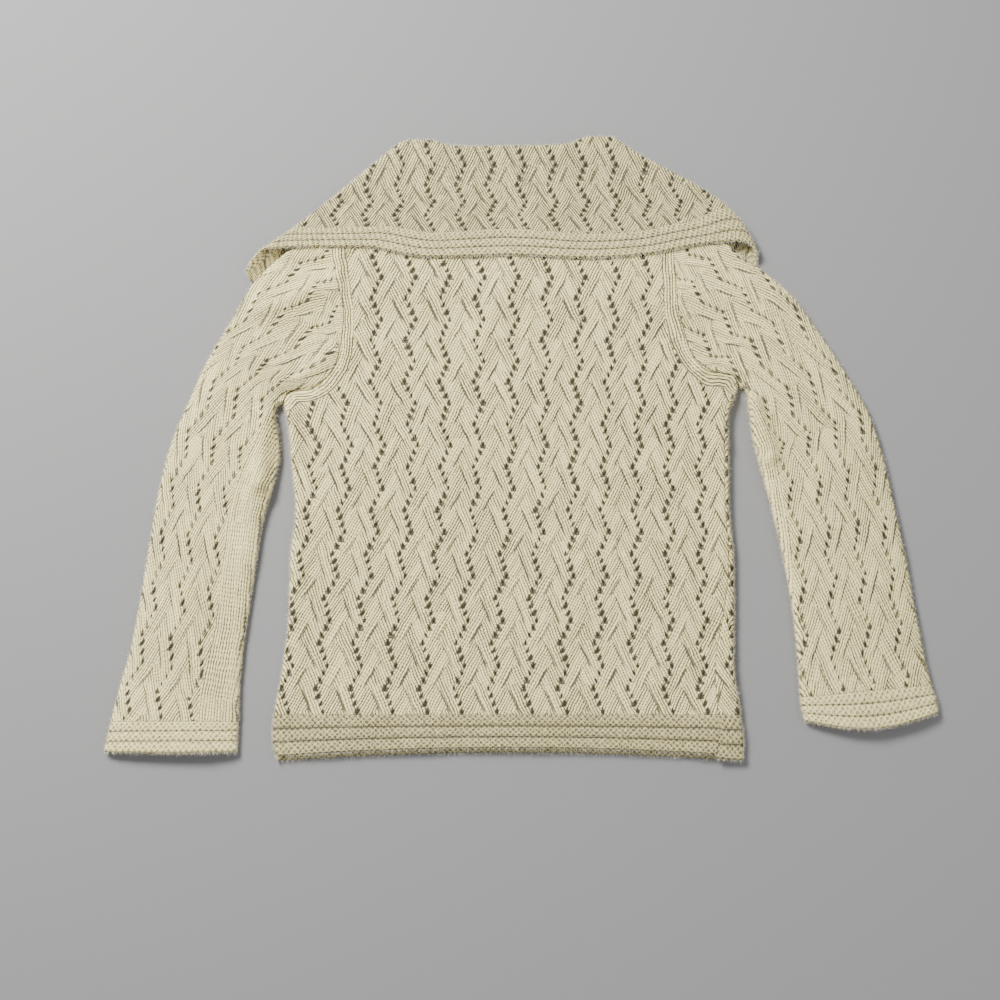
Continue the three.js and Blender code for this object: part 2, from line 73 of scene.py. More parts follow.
class Layer(Enum):
    """The two layers of cloth of the body."""

    LOWER = "lower"
    UPPER = "upper"


@dataclass(frozen=True)
class Cloth:
    """Thickness and layering of the knit, in millimetres."""

    wall: float = 3.0
    slack: float = 0.9
    seam: float = 0.06
    edge_share: float = 0.2
    seam_share: float = 0.9
    edge_round: float = 2.0
    clear: float = 0.2

    @property
    def pitch(self) -> float:
        """Distance from the middle of one layer to the next."""
        return self.wall + self.slack

    @property
    def fold(self) -> float:
        """Radius of a fold, at the middle of the cloth."""
        return self.pitch / 2

    @property
    def reach(self) -> float:
        """How far a fold stands past the flat cloth."""
        return self.fold + self.wall / 2


@dataclass(frozen=True)
class BodyRow:
    """A line across the body, from the hem seam (first) to the neck (last).

    fold is 1 at a side or shoulder fold and 0 at an armhole, wrap is how far the right front comes
    over on to the back, and back and front are the shares of the necklines' dips.
    """

    lx: float
    ly: float
    rx: float
    ry: float
    fold: float
    wrap: float
    back: float = 0.0
    front: float = 0.0


@dataclass(frozen=True)
class HemRow:
    """A line across the garter hem, from its lower edge to the seam."""

    lx: float
    ly: float
    rx: float
    ry: float
    wrap: float
    rise: float


@dataclass(frozen=True)
class SleeveRow:
    """A section of a sleeve: outer and inner edge, share of the armhole's curve, and droop."""

    ox: float
    oy: float
    ix: float
    iy: float
    curve: float = 0.0
    bow: float = 0.0


@dataclass(frozen=True)
class CollarRow:
    """A line of the collar from the neckline (neck), over the roll (fx, fy), to its edge (ex, ey)."""

    neck: float
    fx: float
    fy: float
    ex: float
    ey: float
    turn: float
    border: float
    bowx: float = 0.0
    bowy: float = 0.0


@dataclass(frozen=True)
class LaceRow:
    """Where the eyelets run: the first column, the spacing before and after it, and the row."""

    at: float
    first: float
    left: float
    right: float
    row: float


@dataclass(frozen=True)
class Crease:
    """A soft ridge, or a trough where its height is negative, along a line on the upper cloth."""

    x0: float
    y0: float
    x1: float
    y1: float
    width: float
    height: float


CLOTH = Cloth()

NECK_HALF = 100.0
NECK_Y = 598.0
BACK_DIP = 12.0
FRONT_DIP = 52.0
HEM_DEPTH = 40.0
HEM_RISE = 8.0
FRONT_PEEP = 4.0
LIFT_FROM = 434.0
LIFT_TO = 472.0
UNDERARM_ROW = 7
SHOULDER_ROW = 15
CUFF_LEFT_EDGE = -391.0

BODY = (
    BodyRow(-229, 40, 223, 40, 1, 22),
    BodyRow(-221, 93, 218, 93, 1, 18),
    BodyRow(-217, 143, 220, 143, 1, 10),
    BodyRow(-217, 194, 221, 194, 1, 5),
    BodyRow(-213, 238, 218, 244, 1, 4),
    BodyRow(-218, 284, 219, 294, 1, 4),
    BodyRow(-223, 330, 220, 340, 1, 4),
    BodyRow(-228, 354, 231, 371, 1, 4),
    BodyRow(-222, 364, 225, 380, 0, 0),
    BodyRow(-197, 370, 204, 385, 0, 0),
    BodyRow(-177, 391, 185, 402, 0, 0),
    BodyRow(-171, 418, 177, 428, 0, 0),
    BodyRow(-169, 446, 171, 454, 0, 0, 0, 0.02),
    BodyRow(-176, 480, 170, 484, 0, 0, 0, 0.08),
    BodyRow(-182, 515, 168, 515, 0, 0, 0.05, 0.25),
    BodyRow(-181, 546, 171, 548, 0, 0, 0.2, 0.5),
    BodyRow(-154, 564, 148, 565, 1, 0, 0.5, 0.75),
    BodyRow(-127, 581, 124, 582, 1, 0, 0.8, 0.9),
    BodyRow(-NECK_HALF, NECK_Y, NECK_HALF, NECK_Y, 1, 0, 1, 1),
)
HEM = (
    HemRow(-225, 1, 224, 1, 26, 1),
    HemRow(-230, 20, 225, 20, 24, 0.5),
    HemRow(-229, HEM_DEPTH, 223, HEM_DEPTH, 22, 0),
)
SLEEVES = {
    Side.LEFT: (
        SleeveRow(-181.2, 546.3, -229.5, 355, 1),
        SleeveRow(-206, 531, -233, 351.5, 0.7),
        SleeveRow(-230, 513, -235, 349, 0.4),
        SleeveRow(-249, 495, -236.5, 346, 0.3),
        SleeveRow(-264, 477, -237, 342, 0.2),
        SleeveRow(-285, 439, -236.5, 335, 0.1),
        SleeveRow(-307, 398, -233.5, 321, 0.04),
        SleeveRow(-326, 350, -231, 298),
        SleeveRow(-341, 308, -236, 268),
        SleeveRow(-351, 258, -246, 230),
        SleeveRow(-357, 207, -251, 190),
        SleeveRow(-363, 156, -256, 146),
        SleeveRow(-370, 106, -261, 103),
        SleeveRow(-379, 68, -263, 67),
        SleeveRow(-386, 34, -263, 34),
    ),
    Side.RIGHT: (
        SleeveRow(171.2, 548.3, 232.5, 372, 1),
        SleeveRow(194, 541, 236.5, 369, 0.55),
        SleeveRow(218, 526, 238.5, 366, 0.4),
        SleeveRow(239, 509, 239.5, 363, 0.3),
        SleeveRow(258, 494, 240, 359, 0.25),
        SleeveRow(290, 464, 240.5, 350, 0.15),
        SleeveRow(322, 416, 241.5, 336, 0.04),
        SleeveRow(346, 374, 244, 314),
        SleeveRow(364, 335, 250, 287),
        SleeveRow(375, 290, 258, 254),
        SleeveRow(382, 248, 265, 220),
        SleeveRow(390, 198, 272, 180),
        SleeveRow(397, 145, 277.5, 138),
        SleeveRow(403, 100, 280, 94),
        SleeveRow(409, 69, 281, 57),
    ),
}
CUFFS = {
    Side.LEFT: (
        SleeveRow(-386, 33.7, -263, 33.7),
        SleeveRow(-389, 18, -263, 19),
        SleeveRow(-391, 5, -263, 5, 0, 1),
    ),
    Side.RIGHT: (
        SleeveRow(409, 68.7, 281, 56.7),
        SleeveRow(413, 54, 282, 44, 0, 6),
        SleeveRow(414, 42, 284, 34, 0, 11),
    ),
}
COLLAR = (
    CollarRow(-1, -1.5, 600, -3, 470, 0, 28),
    CollarRow(-40, -45, 605, -72, 472, 0, 28),
    CollarRow(-72, -82, 616, -150, 475, 0, 28),
    CollarRow(-92, -106, 624, -220, 478, 0, 30),
    CollarRow(-95, -112, 627, -257, 480, 0, 42, -1, -2),
    CollarRow(-97.4, -116, 629, -265, 483, 0.12, 60, -2, -3),
    CollarRow(-98.5, -118, 631, -271, 491, 0.5, 78, -2, -5),
    CollarRow(-97.4, -115, 633, -264, 505, 0.85, 60, -2, -5),
    CollarRow(-92, -104, 636, -250, 514, 1, 42, 0, -3),
    CollarRow(-72, -84, 636, -205, 517, 1, 29),
    CollarRow(-50, -60, 630, -150, 517, 1, 28),
    CollarRow(-25, -30, 629, -82, 506, 1, 28),
    CollarRow(0, 0, 630, 0, 508, 1, 28),
    CollarRow(25, 30, 630, 80, 505, 1, 28),
    CollarRow(50, 60, 632, 140, 509, 1, 28),
    CollarRow(72, 84, 640, 192, 519, 1, 29, 3, 2),
    CollarRow(92, 104, 640, 234, 523, 1, 42, 10, 6),
    CollarRow(97.4, 115, 635, 248, 519, 0.85, 50, 16, 8),
    CollarRow(98.5, 120, 630, 254.5, 511, 0.5, 58, 17, 8),
    CollarRow(97.4, 117, 628, 256, 503, 0.12, 60, 14, 6),
    CollarRow(92, 106, 624, 246, 493, 0, 42, 8, 3),
    CollarRow(72, 82, 616, 160, 484, 0, 29),
    CollarRow(40, 45, 605, 76, 476, 0, 28),
    CollarRow(1, 1.5, 600, 3, 470, 0, 28),
)

BACK_ROWS_FROM = 88.0
BACK_ROW = 7.35


def back_row(at: float, first: float, left: float, right: float) -> LaceRow:
    """A row of the back, where the eyelet rows are evenly spaced."""
    return LaceRow(at, first, left, right, (at - BACK_ROWS_FROM) / BACK_ROW)


BACK_LACE = (
    back_row(0, -18.5, 34.2, 34.2),
    back_row(86, -15.8, 33.3, 33.7),
    back_row(127, -12.4, 33.8, 33.4),
    back_row(168, -8.6, 33.4, 32.9),
    back_row(210, -4.6, 32.9, 32.4),
    back_row(296, 1, 32.75, 31.6),
    back_row(384, 3.2, 35, 32.6),
    back_row(473, 4.4, 35.2, 34.2),
    back_row(640, 4.5, 34.3, 34.3),
)
COLLAR_LACE = (
    LaceRow(440, -17.7, 32.4, 32.4, -18),
    LaceRow(529, -17.7, 32.4, 32.4, -1.2),
    LaceRow(535.6, -17.7, 32.4, 32.4, 0),
    LaceRow(551.5, -18, 32.2, 32.2, 3),
    LaceRow(566.4, -19, 31.8, 32, 6),
    LaceRow(585.2, -19.8, 31.5, 31.7, 9),
    LaceRow(607.5, -20, 31.4, 31.6, 12),
    LaceRow(629, -20, 31.4, 31.6, 15),
    LaceRow(680, -20, 31.4, 31.6, 22),
)
SLEEVE_LACE = {
    Side.LEFT: (
        LaceRow(0, 55, 30, 31, 10),
        LaceRow(81, 52, 30, 31, 0),
        LaceRow(113, 49, 32, 33, -3),
        LaceRow(145, 38, 28, 31.5, -6),
        LaceRow(170, 31, 28, 28.8, -9),
        LaceRow(191, 26, 26, 24.5, -12),
        LaceRow(245, 18, 28, 28.5, -18),
        LaceRow(302, 16.3, 27.7, 27.7, -24),
        LaceRow(356, 15, 26.8, 26.8, -30),
        LaceRow(409, 14.5, 27.3, 27.3, -36),
        LaceRow(459, 14.2, 28.5, 28.5, -42),
        LaceRow(510, 12, 29.7, 29.7, -48),
        LaceRow(559, 12, 32, 32, -54),
        LaceRow(580, 12, 32.5, 32.5, -56.5),
    ),
    Side.RIGHT: (
        LaceRow(0, 27, 30, 30, 10),
        LaceRow(78, 31.5, 31, 31, 0),
        LaceRow(125, 37, 32, 32, -6),
        LaceRow(165, 39.5, 28.5, 28.5, -9.7),
        LaceRow(225, 38.5, 27, 27, -15),
        LaceRow(285, 41, 28, 28, -21),
        LaceRow(315, 41.5, 28.5, 29, -24),
        LaceRow(345, 43, 28.8, 28.8, -27),
        LaceRow(398, 44.5, 28.5, 29, -33),
        LaceRow(450, 48, 29.5, 29.5, -39),
        LaceRow(503, 53, 31, 30.5, -45),
        LaceRow(552, 60.5, 34, 30.5, -51),
        LaceRow(580, 63, 34, 30.5, -54),
    ),
}
REPEAT = 11.0
FAR = 99.0  # stitches from an armhole where there is none near
ENDLESS = 1e3
STITCH = 3.07
GARTER_ROW = 3.1
PLAIN_PAST = 24.5
PLAIN_FROM = 215.0

CREASES = (
    Crease(-232, 372, -188, 392, 8, 3.2),
    Crease(-219, 340, -213, 296, 8, 4.5),
    Crease(-207, 290, -208, 60, 8, 1.7),
    Crease(216, 352, 211, 310, 8, 3.0),
    Crease(212, 310, 210, 60, 8, 1.7),
    Crease(-180, 480, -255, 448, 12, 4.8),
    Crease(-244, 336, -249, 268, 9, 6.5),
    Crease(-250, 262, -262, 190, 12, 2.0),
    Crease(192, 392, 236, 384, 7, 3.2),
    Crease(245, 352, 260, 296, 9, 6.5),
    Crease(262, 290, 278, 210, 12, 2.0),
    Crease(176, 470, 173, 430, 9, 1.6),
    Crease(300, 300, 322, 180, 22, 1.4),
    Crease(-150, 300, -190, 200, 26, 1.2),
    Crease(-188, 498, -224, 497, 9, -4.2),
    Crease(-166, 506, -163, 484, 6, -3.6),
    Crease(-178, 508, -172, 470, 4.5, 1.8),
    Crease(-152, 508, -142, 480, 5, 1.3),
    Crease(-198, 368, -228, 360, 4, -2.2),
    Crease(-214, 384, -240, 372, 4.5, -1.4),
    Crease(200, 376, 232, 366, 4, -2.4),
    Crease(-250, 410, -300, 330, 16, 1.2),
    Crease(-318, 240, -330, 120, 22, 1.0),
    Crease(350, 250, 362, 110, 20, 1.2),
    Crease(60, 330, 80, 190, 34, 0.9),
    Crease(-60, 240, -52, 120, 30, -0.8),
    Crease(130, 160, 140, 60, 26, 0.8),
    Crease(-110, 150, -120, 60, 26, 0.8),
)


@dataclass(frozen=True)
class Wave:
    """One slow swell of the upper cloth: lengths across and along, phase and height."""

    across: float
    along: float
    phase: float
    height: float


WAVES = (
    Wave(163, 410, 0.4, 0.35),
    Wave(-97, 231, 1.9, 0.28),
    Wave(71, -147, 4.1, 0.22),
    Wave(238, 93, 2.7, 0.25),
    Wave(-54, -88, 5.3, 0.14),
)


# ------------------------------------------------------------------------------ small sums
def smoothstep(start: float, end: float, value: np.ndarray) -> np.ndarray:
    """A soft step."""
    t = np.clip((value - start) / (end - start), 0, 1)
    return t * t * (3 - 2 * t)


def mix(a: np.ndarray, b: np.ndarray, t: np.ndarray) -> np.ndarray:
    """Part of the way from a to b."""
    return a + (b - a) * t


def unit(vectors: np.ndarray) -> np.ndarray:
    """Vectors of length 1."""
    return vectors / np.maximum(np.linalg.norm(vectors, axis=-1, keepdims=True), 1e-9)


class Table:
    """Rows of named sizes, read between the rows along a smooth curve that never overshoots."""

    def __init__(self, rows: Sequence[object], knots: Sequence[float]) -> None:
        """Reads the rows into columns.

        Args:
            rows: Size rows of one dataclass.
            knots: Where each row lies.
        """
        self.knots = np.asarray(knots, float)
        self.columns = {
            item.name: np.array([getattr(row, item.name) for row in rows], float)
            for item in fields(rows[0])
        }

    def read(self, name: str, place: np.ndarray) -> np.ndarray:
        """Reads a column.

        Args:
            name: The column's name.
            place: Where to read it, in the knots' own measure.
        Returns:
            The values there.
        """
        x, y = self.knots, self.columns[name]
        if len(x) < 3:
            return np.interp(place, x, y)
        step = np.diff(x)
        slope = np.diff(y) / step
        before, after = slope[:-1], slope[1:]
        same = before * after > 0
        weight_a = 2 * step[1:] + step[:-1]
        weight_b = step[1:] + 2 * step[:-1]
        safe_before = np.where(same, before, 1.0)
        safe_after = np.where(same, after, 1.0)
        inner = np.where(
            same, (weight_a + weight_b) / (weight_a / safe_before + weight_b / safe_after), 0.0
        )
        tangents = np.concatenate(([slope[0]], inner, [slope[-1]]))
        place = np.clip(place, x[0], x[-1])
        k = np.clip(np.searchsorted(x, place) - 1, 0, len(x) - 2)
        h = step[k]
        t = (place - x[k]) / h
        return (
            y[k] * (1 + 2 * t) * (1 - t) ** 2
            + h * tangents[k] * t * (1 - t) ** 2
            + y[k + 1] * t * t * (3 - 2 * t)
            - h * tangents[k + 1] * t * t * (1 - t)
        )


def run(points: np.ndarray, axis: int = 0) -> np.ndarray:
    """Distance run along a line of points, or along the rows or the columns of a sheet.

    Args:
        points: Points along the last axis.
        axis: The axis to go along.
    Returns:
        The distance at each point, from 0.
    """
    steps = np.linalg.norm(np.diff(points, axis=axis), axis=-1)
    pad = [(0, 0)] * steps.ndim
    pad[axis] = (1, 0)
    return np.pad(np.cumsum(steps, axis=axis), pad)


def stations(length: float, step: float, edge: float = 1.1) -> np.ndarray:
    """Even stations along a length, with one more close to each end for a rounded edge.

    Args:
        length: Length to divide.
        step: Longest step.
        edge: How far the extra stations are from the ends.
    Returns:
        Distances from 0 to length.
    """
    count = max(3, int(math.ceil(length / step)))
    even = np.linspace(0, length, count + 1)
    return np.sort(np.concatenate((even, [edge, length - edge])))


def lift(y: np.ndarray) -> np.ndarray:
    """How far the front of the collar, lying under the garment, holds it up."""
    return CLOTH.pitch * smoothstep(LIFT_FROM, LIFT_TO, y)


def ripple(x: np.ndarray, y: np.ndarray) -> np.ndarray:
    """Creases and slow swells of the upper cloth.

    Args:
        x: Across the pattern.
        y: Up the pattern.
    Returns:
        Height in millimetres.
    """
    height = np.zeros(np.broadcast(x, y).shape)
    for crease in CREASES:
        dx, dy = crease.x1 - crease.x0, crease.y1 - crease.y0
        along = np.clip(((x - crease.x0) * dx + (y - crease.y0) * dy) / (dx * dx + dy * dy), 0, 1)
        away = np.hypot(x - crease.x0 - along * dx, y - crease.y0 - along * dy) / crease.width
        height = height + crease.height * np.exp(-away * away)
    for wave in WAVES:
        turn = 2 * math.pi * (x / wave.across + y / wave.along) + wave.phase
        height = height + wave.height * (1 + np.sin(turn))
    return height


def layer_height(layer: Layer, x: np.ndarray, y: np.ndarray) -> np.ndarray:
    """Height of the middle of a flat layer of the body or of a sleeve.

    Args:
        layer: Which of the two layers.
        x: Across the pattern.
        y: Up the pattern.
    Returns:
        Height in millimetres.
    """
    if layer is Layer.LOWER:
        return CLOTH.wall / 2 + lift(y)
    return CLOTH.wall / 2 + CLOTH.pitch + lift(y) + ripple(x, y)


class Placement:
    """Turns the pattern's millimetres into the frame's metres."""

    def __init__(self) -> None:
        """Reads where the frame's solids put the pattern."""
        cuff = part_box("cuff_left")
        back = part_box("back")
        self.shift = np.array(
            [cuff[0][0] / MM - CUFF_LEFT_EDGE, back[0][1] / MM - HEM_DEPTH, CLOTH.clear]
        )

    def metres(self, points: np.ndarray) -> np.ndarray:
        """Pattern points in millimetres, as points of the frame in metres."""
        return (points + self.shift) * MM


# ------------------------------------------------------------------------------ shader sums
class NodeTree:
    """Builds the nodes of one material."""

    def __init__(self, material: bpy.types.Material) -> None:
        """Empties a material's nodes.

        Args:
            material: The material to build in.
        """
        material.use_nodes = True
        self.tree = material.node_tree
        self.tree.nodes.clear()

    def add(self, kind: str, settings: dict[str, object] | None = None, **inputs: object) -> bpy.types.Node:
        """Adds one node, of any kind.

        Args:
            kind: The node's type.
            settings: Its own settings, set first.
            **inputs: Values, sockets or Values, by the input's name with spaces as underscores,
                or by its number as in0, in1.
        Returns:
            The node.
        """
        node = self.tree.nodes.new(kind)
        for name, value in (settings or {}).items():
            setattr(node, name, value)
        for name, value in inputs.items():
            is_number = name.startswith("in") and name[2:].isdigit()
            socket = node.inputs[int(name[2:])] if is_number else node.inputs[name.replace("_", " ")]
            self.feed(socket, value)
        return node

    def feed(self, socket: bpy.types.NodeSocket, value: object) -> None:
        """Gives an input its value or link.

        Args:
            socket: The input.
            value: A number, a tuple, a socket or a Value.
        """
        if isinstance(value, Value):
            value = value.socket
        if isinstance(value, bpy.types.NodeSocket):
            self.tree.links.new(value, socket)
        else:
            socket.default_value = value

    def value(self, socket: bpy.types.NodeSocket) -> "Value":
        """A socket that gives a number, ready for sums."""
        return Value(self, socket)

    def place(self) -> bpy.types.NodeSocket:
        """The object's own coordinates."""
        return self.add("ShaderNodeTexCoord").outputs["Object"]

    def noise(self, place: object, scale: float, detail: float, **inputs: float) -> "Value":
        """A cloudy number at each place."""
        node = self.add("ShaderNodeTexNoise", {}, Vector=place, Scale=scale, Detail=detail, **inputs)
        return self.value(node.outputs["Fac"])

    def pulls(self, place: object, scale: float) -> list["Value"]:
        """Three cloudy numbers at each place, for how unevenly the yarn is pulled."""
        node = self.add("ShaderNodeTexNoise", {}, Vector=place, Scale=scale, Detail=3.0, Roughness=0.6)
        return self.split(node.outputs["Color"])

    def join(self, x: object, y: object, z: object) -> bpy.types.NodeSocket:
        """Three numbers as one spot."""
        return self.add("ShaderNodeCombineXYZ", {}, in0=x, in1=y, in2=z).outputs[0]

    def split(self, spot: bpy.types.NodeSocket) -> list["Value"]:
        """The numbers of a spot or a colour."""
        return [self.value(part) for part in self.add("ShaderNodeSeparateXYZ", {}, in0=spot).outputs]

    def chance(self, spot: bpy.types.NodeSocket) -> "Value":
        """A random number from 0 to 1 for each spot."""
        node = self.add("ShaderNodeTexWhiteNoise", {"noise_dimensions": "3D"}, Vector=spot)
        return self.value(node.outputs["Value"])

    def blend(self, amount: object, a: object, b: object, mode: str = "MIX") -> bpy.types.NodeSocket:
        """Mixes two colours."""
        node = self.add("ShaderNodeMix", {"data_type": "RGBA", "blend_type": mode}, in0=amount, in6=a, in7=b)
        return node.outputs[2]


class Value:
    """A number in a material's nodes. Sums on it add the nodes that work them out."""

    def __init__(self, nodes: NodeTree, socket: bpy.types.NodeSocket) -> None:
        """Wraps a socket that gives a number."""
        self.nodes = nodes
        self.socket = socket

    def _sum(self, operation: str, *terms: object) -> "Value":
        """Adds a maths node.

        Args:
            operation: The kind of sum.
            *terms: Its terms.
        Returns:
            The result.
        """
        inputs = {f"in{k}": term for k, term in enumerate(terms)}
        node = self.nodes.add("ShaderNodeMath", {"operation": operation}, **inputs)
        return Value(self.nodes, node.outputs[0])

    def __add__(self, other: object) -> "Value":
        """Sum."""
        return self._sum("ADD", self, other)

    __radd__ = __add__

    def __sub__(self, other: object) -> "Value":
        """Difference."""
        return self._sum("SUBTRACT", self, other)

    def __rsub__(self, other: object) -> "Value":
        """Difference from a number."""
        return self._sum("SUBTRACT", other, self)

    def __mul__(self, other: object) -> "Value":
        """Product."""
        return self._sum("MULTIPLY", self, other)

    __rmul__ = __mul__

    def __truediv__(self, other: object) -> "Value":
        """Quotient."""
        return self._sum("DIVIDE", self, other)

    def __rtruediv__(self, other: object) -> "Value":
        """Quotient of a number."""
        return self._sum("DIVIDE", other, self)

    def __pow__(self, other: object) -> "Value":
        """Power."""
        return self._sum("POWER", self, other)

    def __abs__(self) -> "Value":
        """Size without sign."""
        return self._sum("ABSOLUTE", self)

    def less(self, other: object) -> "Value":
        """1 where this is less than other."""
        return self._sum("LESS_THAN", self, other)

    def more(self, other: object) -> "Value":
        """1 where this is more than other."""
        return self._sum("GREATER_THAN", self, other)

    def cos(self) -> "Value":
        """Cosine."""
        return self._sum("COSINE", self)

    def sin(self) -> "Value":
        """Sine."""
        return self._sum("SINE", self)

    def exp(self) -> "Value":
        """Exponential."""
        return self._sum("EXPONENT", self)

    def round(self) -> "Value":
        """Nearest whole number."""
        return self._sum("ROUND", self)

    def wrap(self, low: float, high: float) -> "Value":
        """Wraps round from high to low."""
        return self._sum("WRAP", self, high, low)

    def pingpong(self, scale: float) -> "Value":
        """Goes from 0 up to scale and back."""
        return self._sum("PINGPONG", self, scale)

    def clamp(self) -> "Value":
        """The number, kept from 0 to 1."""
        return self._sum("MINIMUM", self._sum("MAXIMUM", self, 0.0), 1.0)

    def smooth(self, start: float, end: float) -> "Value":
        """A soft step from 0 at start to 1 at end, where end may be the smaller."""
        t = ((self - start) / (end - start)).clamp()
        return t * t * (3.0 - 2.0 * t)

    def mix(self, a: object, b: object) -> "Value":
        """a where this is 0 and b where it is 1."""
        return (1.0 - self) * a + self * b


# ------------------------------------------------------------------------------ finishes
@dataclass(frozen=True)
class Wool:
    """The brushed yarn that every finish shares."""

    light: tuple[float, float, float, float] = (0.93, 0.815, 0.385, 1)
    # dark is the colour that the painted shade of the knit's gaps, eyelets and furrows blends to; the
    # fibres' random tone blends to it too.
    dark: tuple[float, float, float, float] = (0.1, 0.09, 0.055, 1)
    # reverse is darker partly as the reverse side's own look and partly as painted shade, for the inner
    # sides seen through the eyelets and under the collar's tips.
    reverse: tuple[float, float, float, float] = (0.40, 0.34, 0.24, 1)
    sheen_tint: tuple[float, float, float, float] = (0.95, 0.84, 0.58, 1)
    roughness: float = 0.92
    sheen: float = 0.15
    sheen_roughness: float = 0.5
    specular: float = 0.12
    relief: float = 0.9 * MM
    fuzz_scale: float = 900.0
    tuft_scale: float = 260.0
    cloud_scale: float = 22.0
    hair_scale: tuple[float, float, float] = (2600.0, 420.0, 900.0)
    hair_turn: float = 0.6

    def dress(
        self,
        nodes: NodeTree,
        height: Value,
        shade: Value,
        light: tuple[float, float, float, float],
        alpha: Value | None,
    ) -> None:
        """Adds the yarn's own fuzz, colour and sheen, and the output.

        Args:
            nodes: The material's nodes.
            height: Relief of the knit, 1 for the top of a rib.
            shade: Painted shade, how deep in the knit a spot lies, 0 on top and 1 in a gap; it darkens the
                colour towards the dark yarn colour.
            light: Colour of the top of the yarn, its own colour where no shade is painted.
            alpha: 0 in a hole, or None without holes.
        """
        place = nodes.place()
        hair = nodes.add(
            "ShaderNodeMapping", {}, Vector=place, Rotation=(0.0, 0.0, self.hair_turn), Scale=self.hair_scale
        )
        fuzz = nodes.noise(place, self.fuzz_scale, 3.0, Roughness=0.6)
        fine = fuzz + nodes.noise(hair.outputs[0], 1.0, 2.0) - 1.0
        tuft = nodes.noise(place, self.tuft_scale, 2.0, Roughness=0.55) - 0.5
        cloud = nodes.noise(place, self.cloud_scale, 2.0, Roughness=0.5) - 0.5
        # Painted shade of the knit, together with the yarn's random speckle, blends the colour towards the
        # dark yarn colour.
        depth = (shade + tuft * 0.6 + fine * 1.15).clamp()
        colour = nodes.blend(depth, light, self.dark)
        tone = (1.07 + cloud * 0.28 + tuft * 0.3 + fine * 0.62).socket
        grey = nodes.add("ShaderNodeCombineColor", {}, in0=tone, in1=tone, in2=tone).outputs[0]
        colour = nodes.blend(1.0, colour, grey, "MULTIPLY")
        surface = height + fine * 0.55 + tuft * 0.5
        bump = nodes.add("ShaderNodeBump", {}, Strength=1.0, Distance=self.relief, Height=surface)
        shader = nodes.add(
            "ShaderNodeBsdfPrincipled",
            {},
            Base_Color=colour,
            Roughness=self.roughness,
            Normal=bump.outputs[0],
            Sheen_Weight=self.sheen,
            Sheen_Roughness=self.sheen_roughness,
            Sheen_Tint=self.sheen_tint,
            Specular_IOR_Level=self.specular,
        )
        if alpha is not None:
            nodes.feed(shader.inputs["Alpha"], alpha)
        nodes.add("ShaderNodeOutputMaterial", {}, Surface=shader.outputs[0])


class Maps(Enum):
    """The maps of stitches that the shells carry."""

    KNIT = "knit"
    EDGE = "edge"


def read_map(nodes: NodeTree, which: Maps) -> tuple[Value, Value]:
    """Reads a map of the shell.

    Args:
        nodes: The material's nodes.
        which: Which of the shell's maps.
    Returns:
        Its two numbers.
    """
    place = nodes.add("ShaderNodeUVMap", {"uv_map": which.value}).outputs[0]
    across, along, _ = nodes.split(place)
    return across, along


class Finish:
    """What a surface is made of. Each kind fills in the nodes of one material."""

    def material(self, name: str) -> bpy.types.Material:
        """Makes the material.

        Args:
            name: The material's name.
        Returns:
            The finished material.
        """
        material = bpy.data.materials.new(name)
        self.fill(NodeTree(material))
        return material


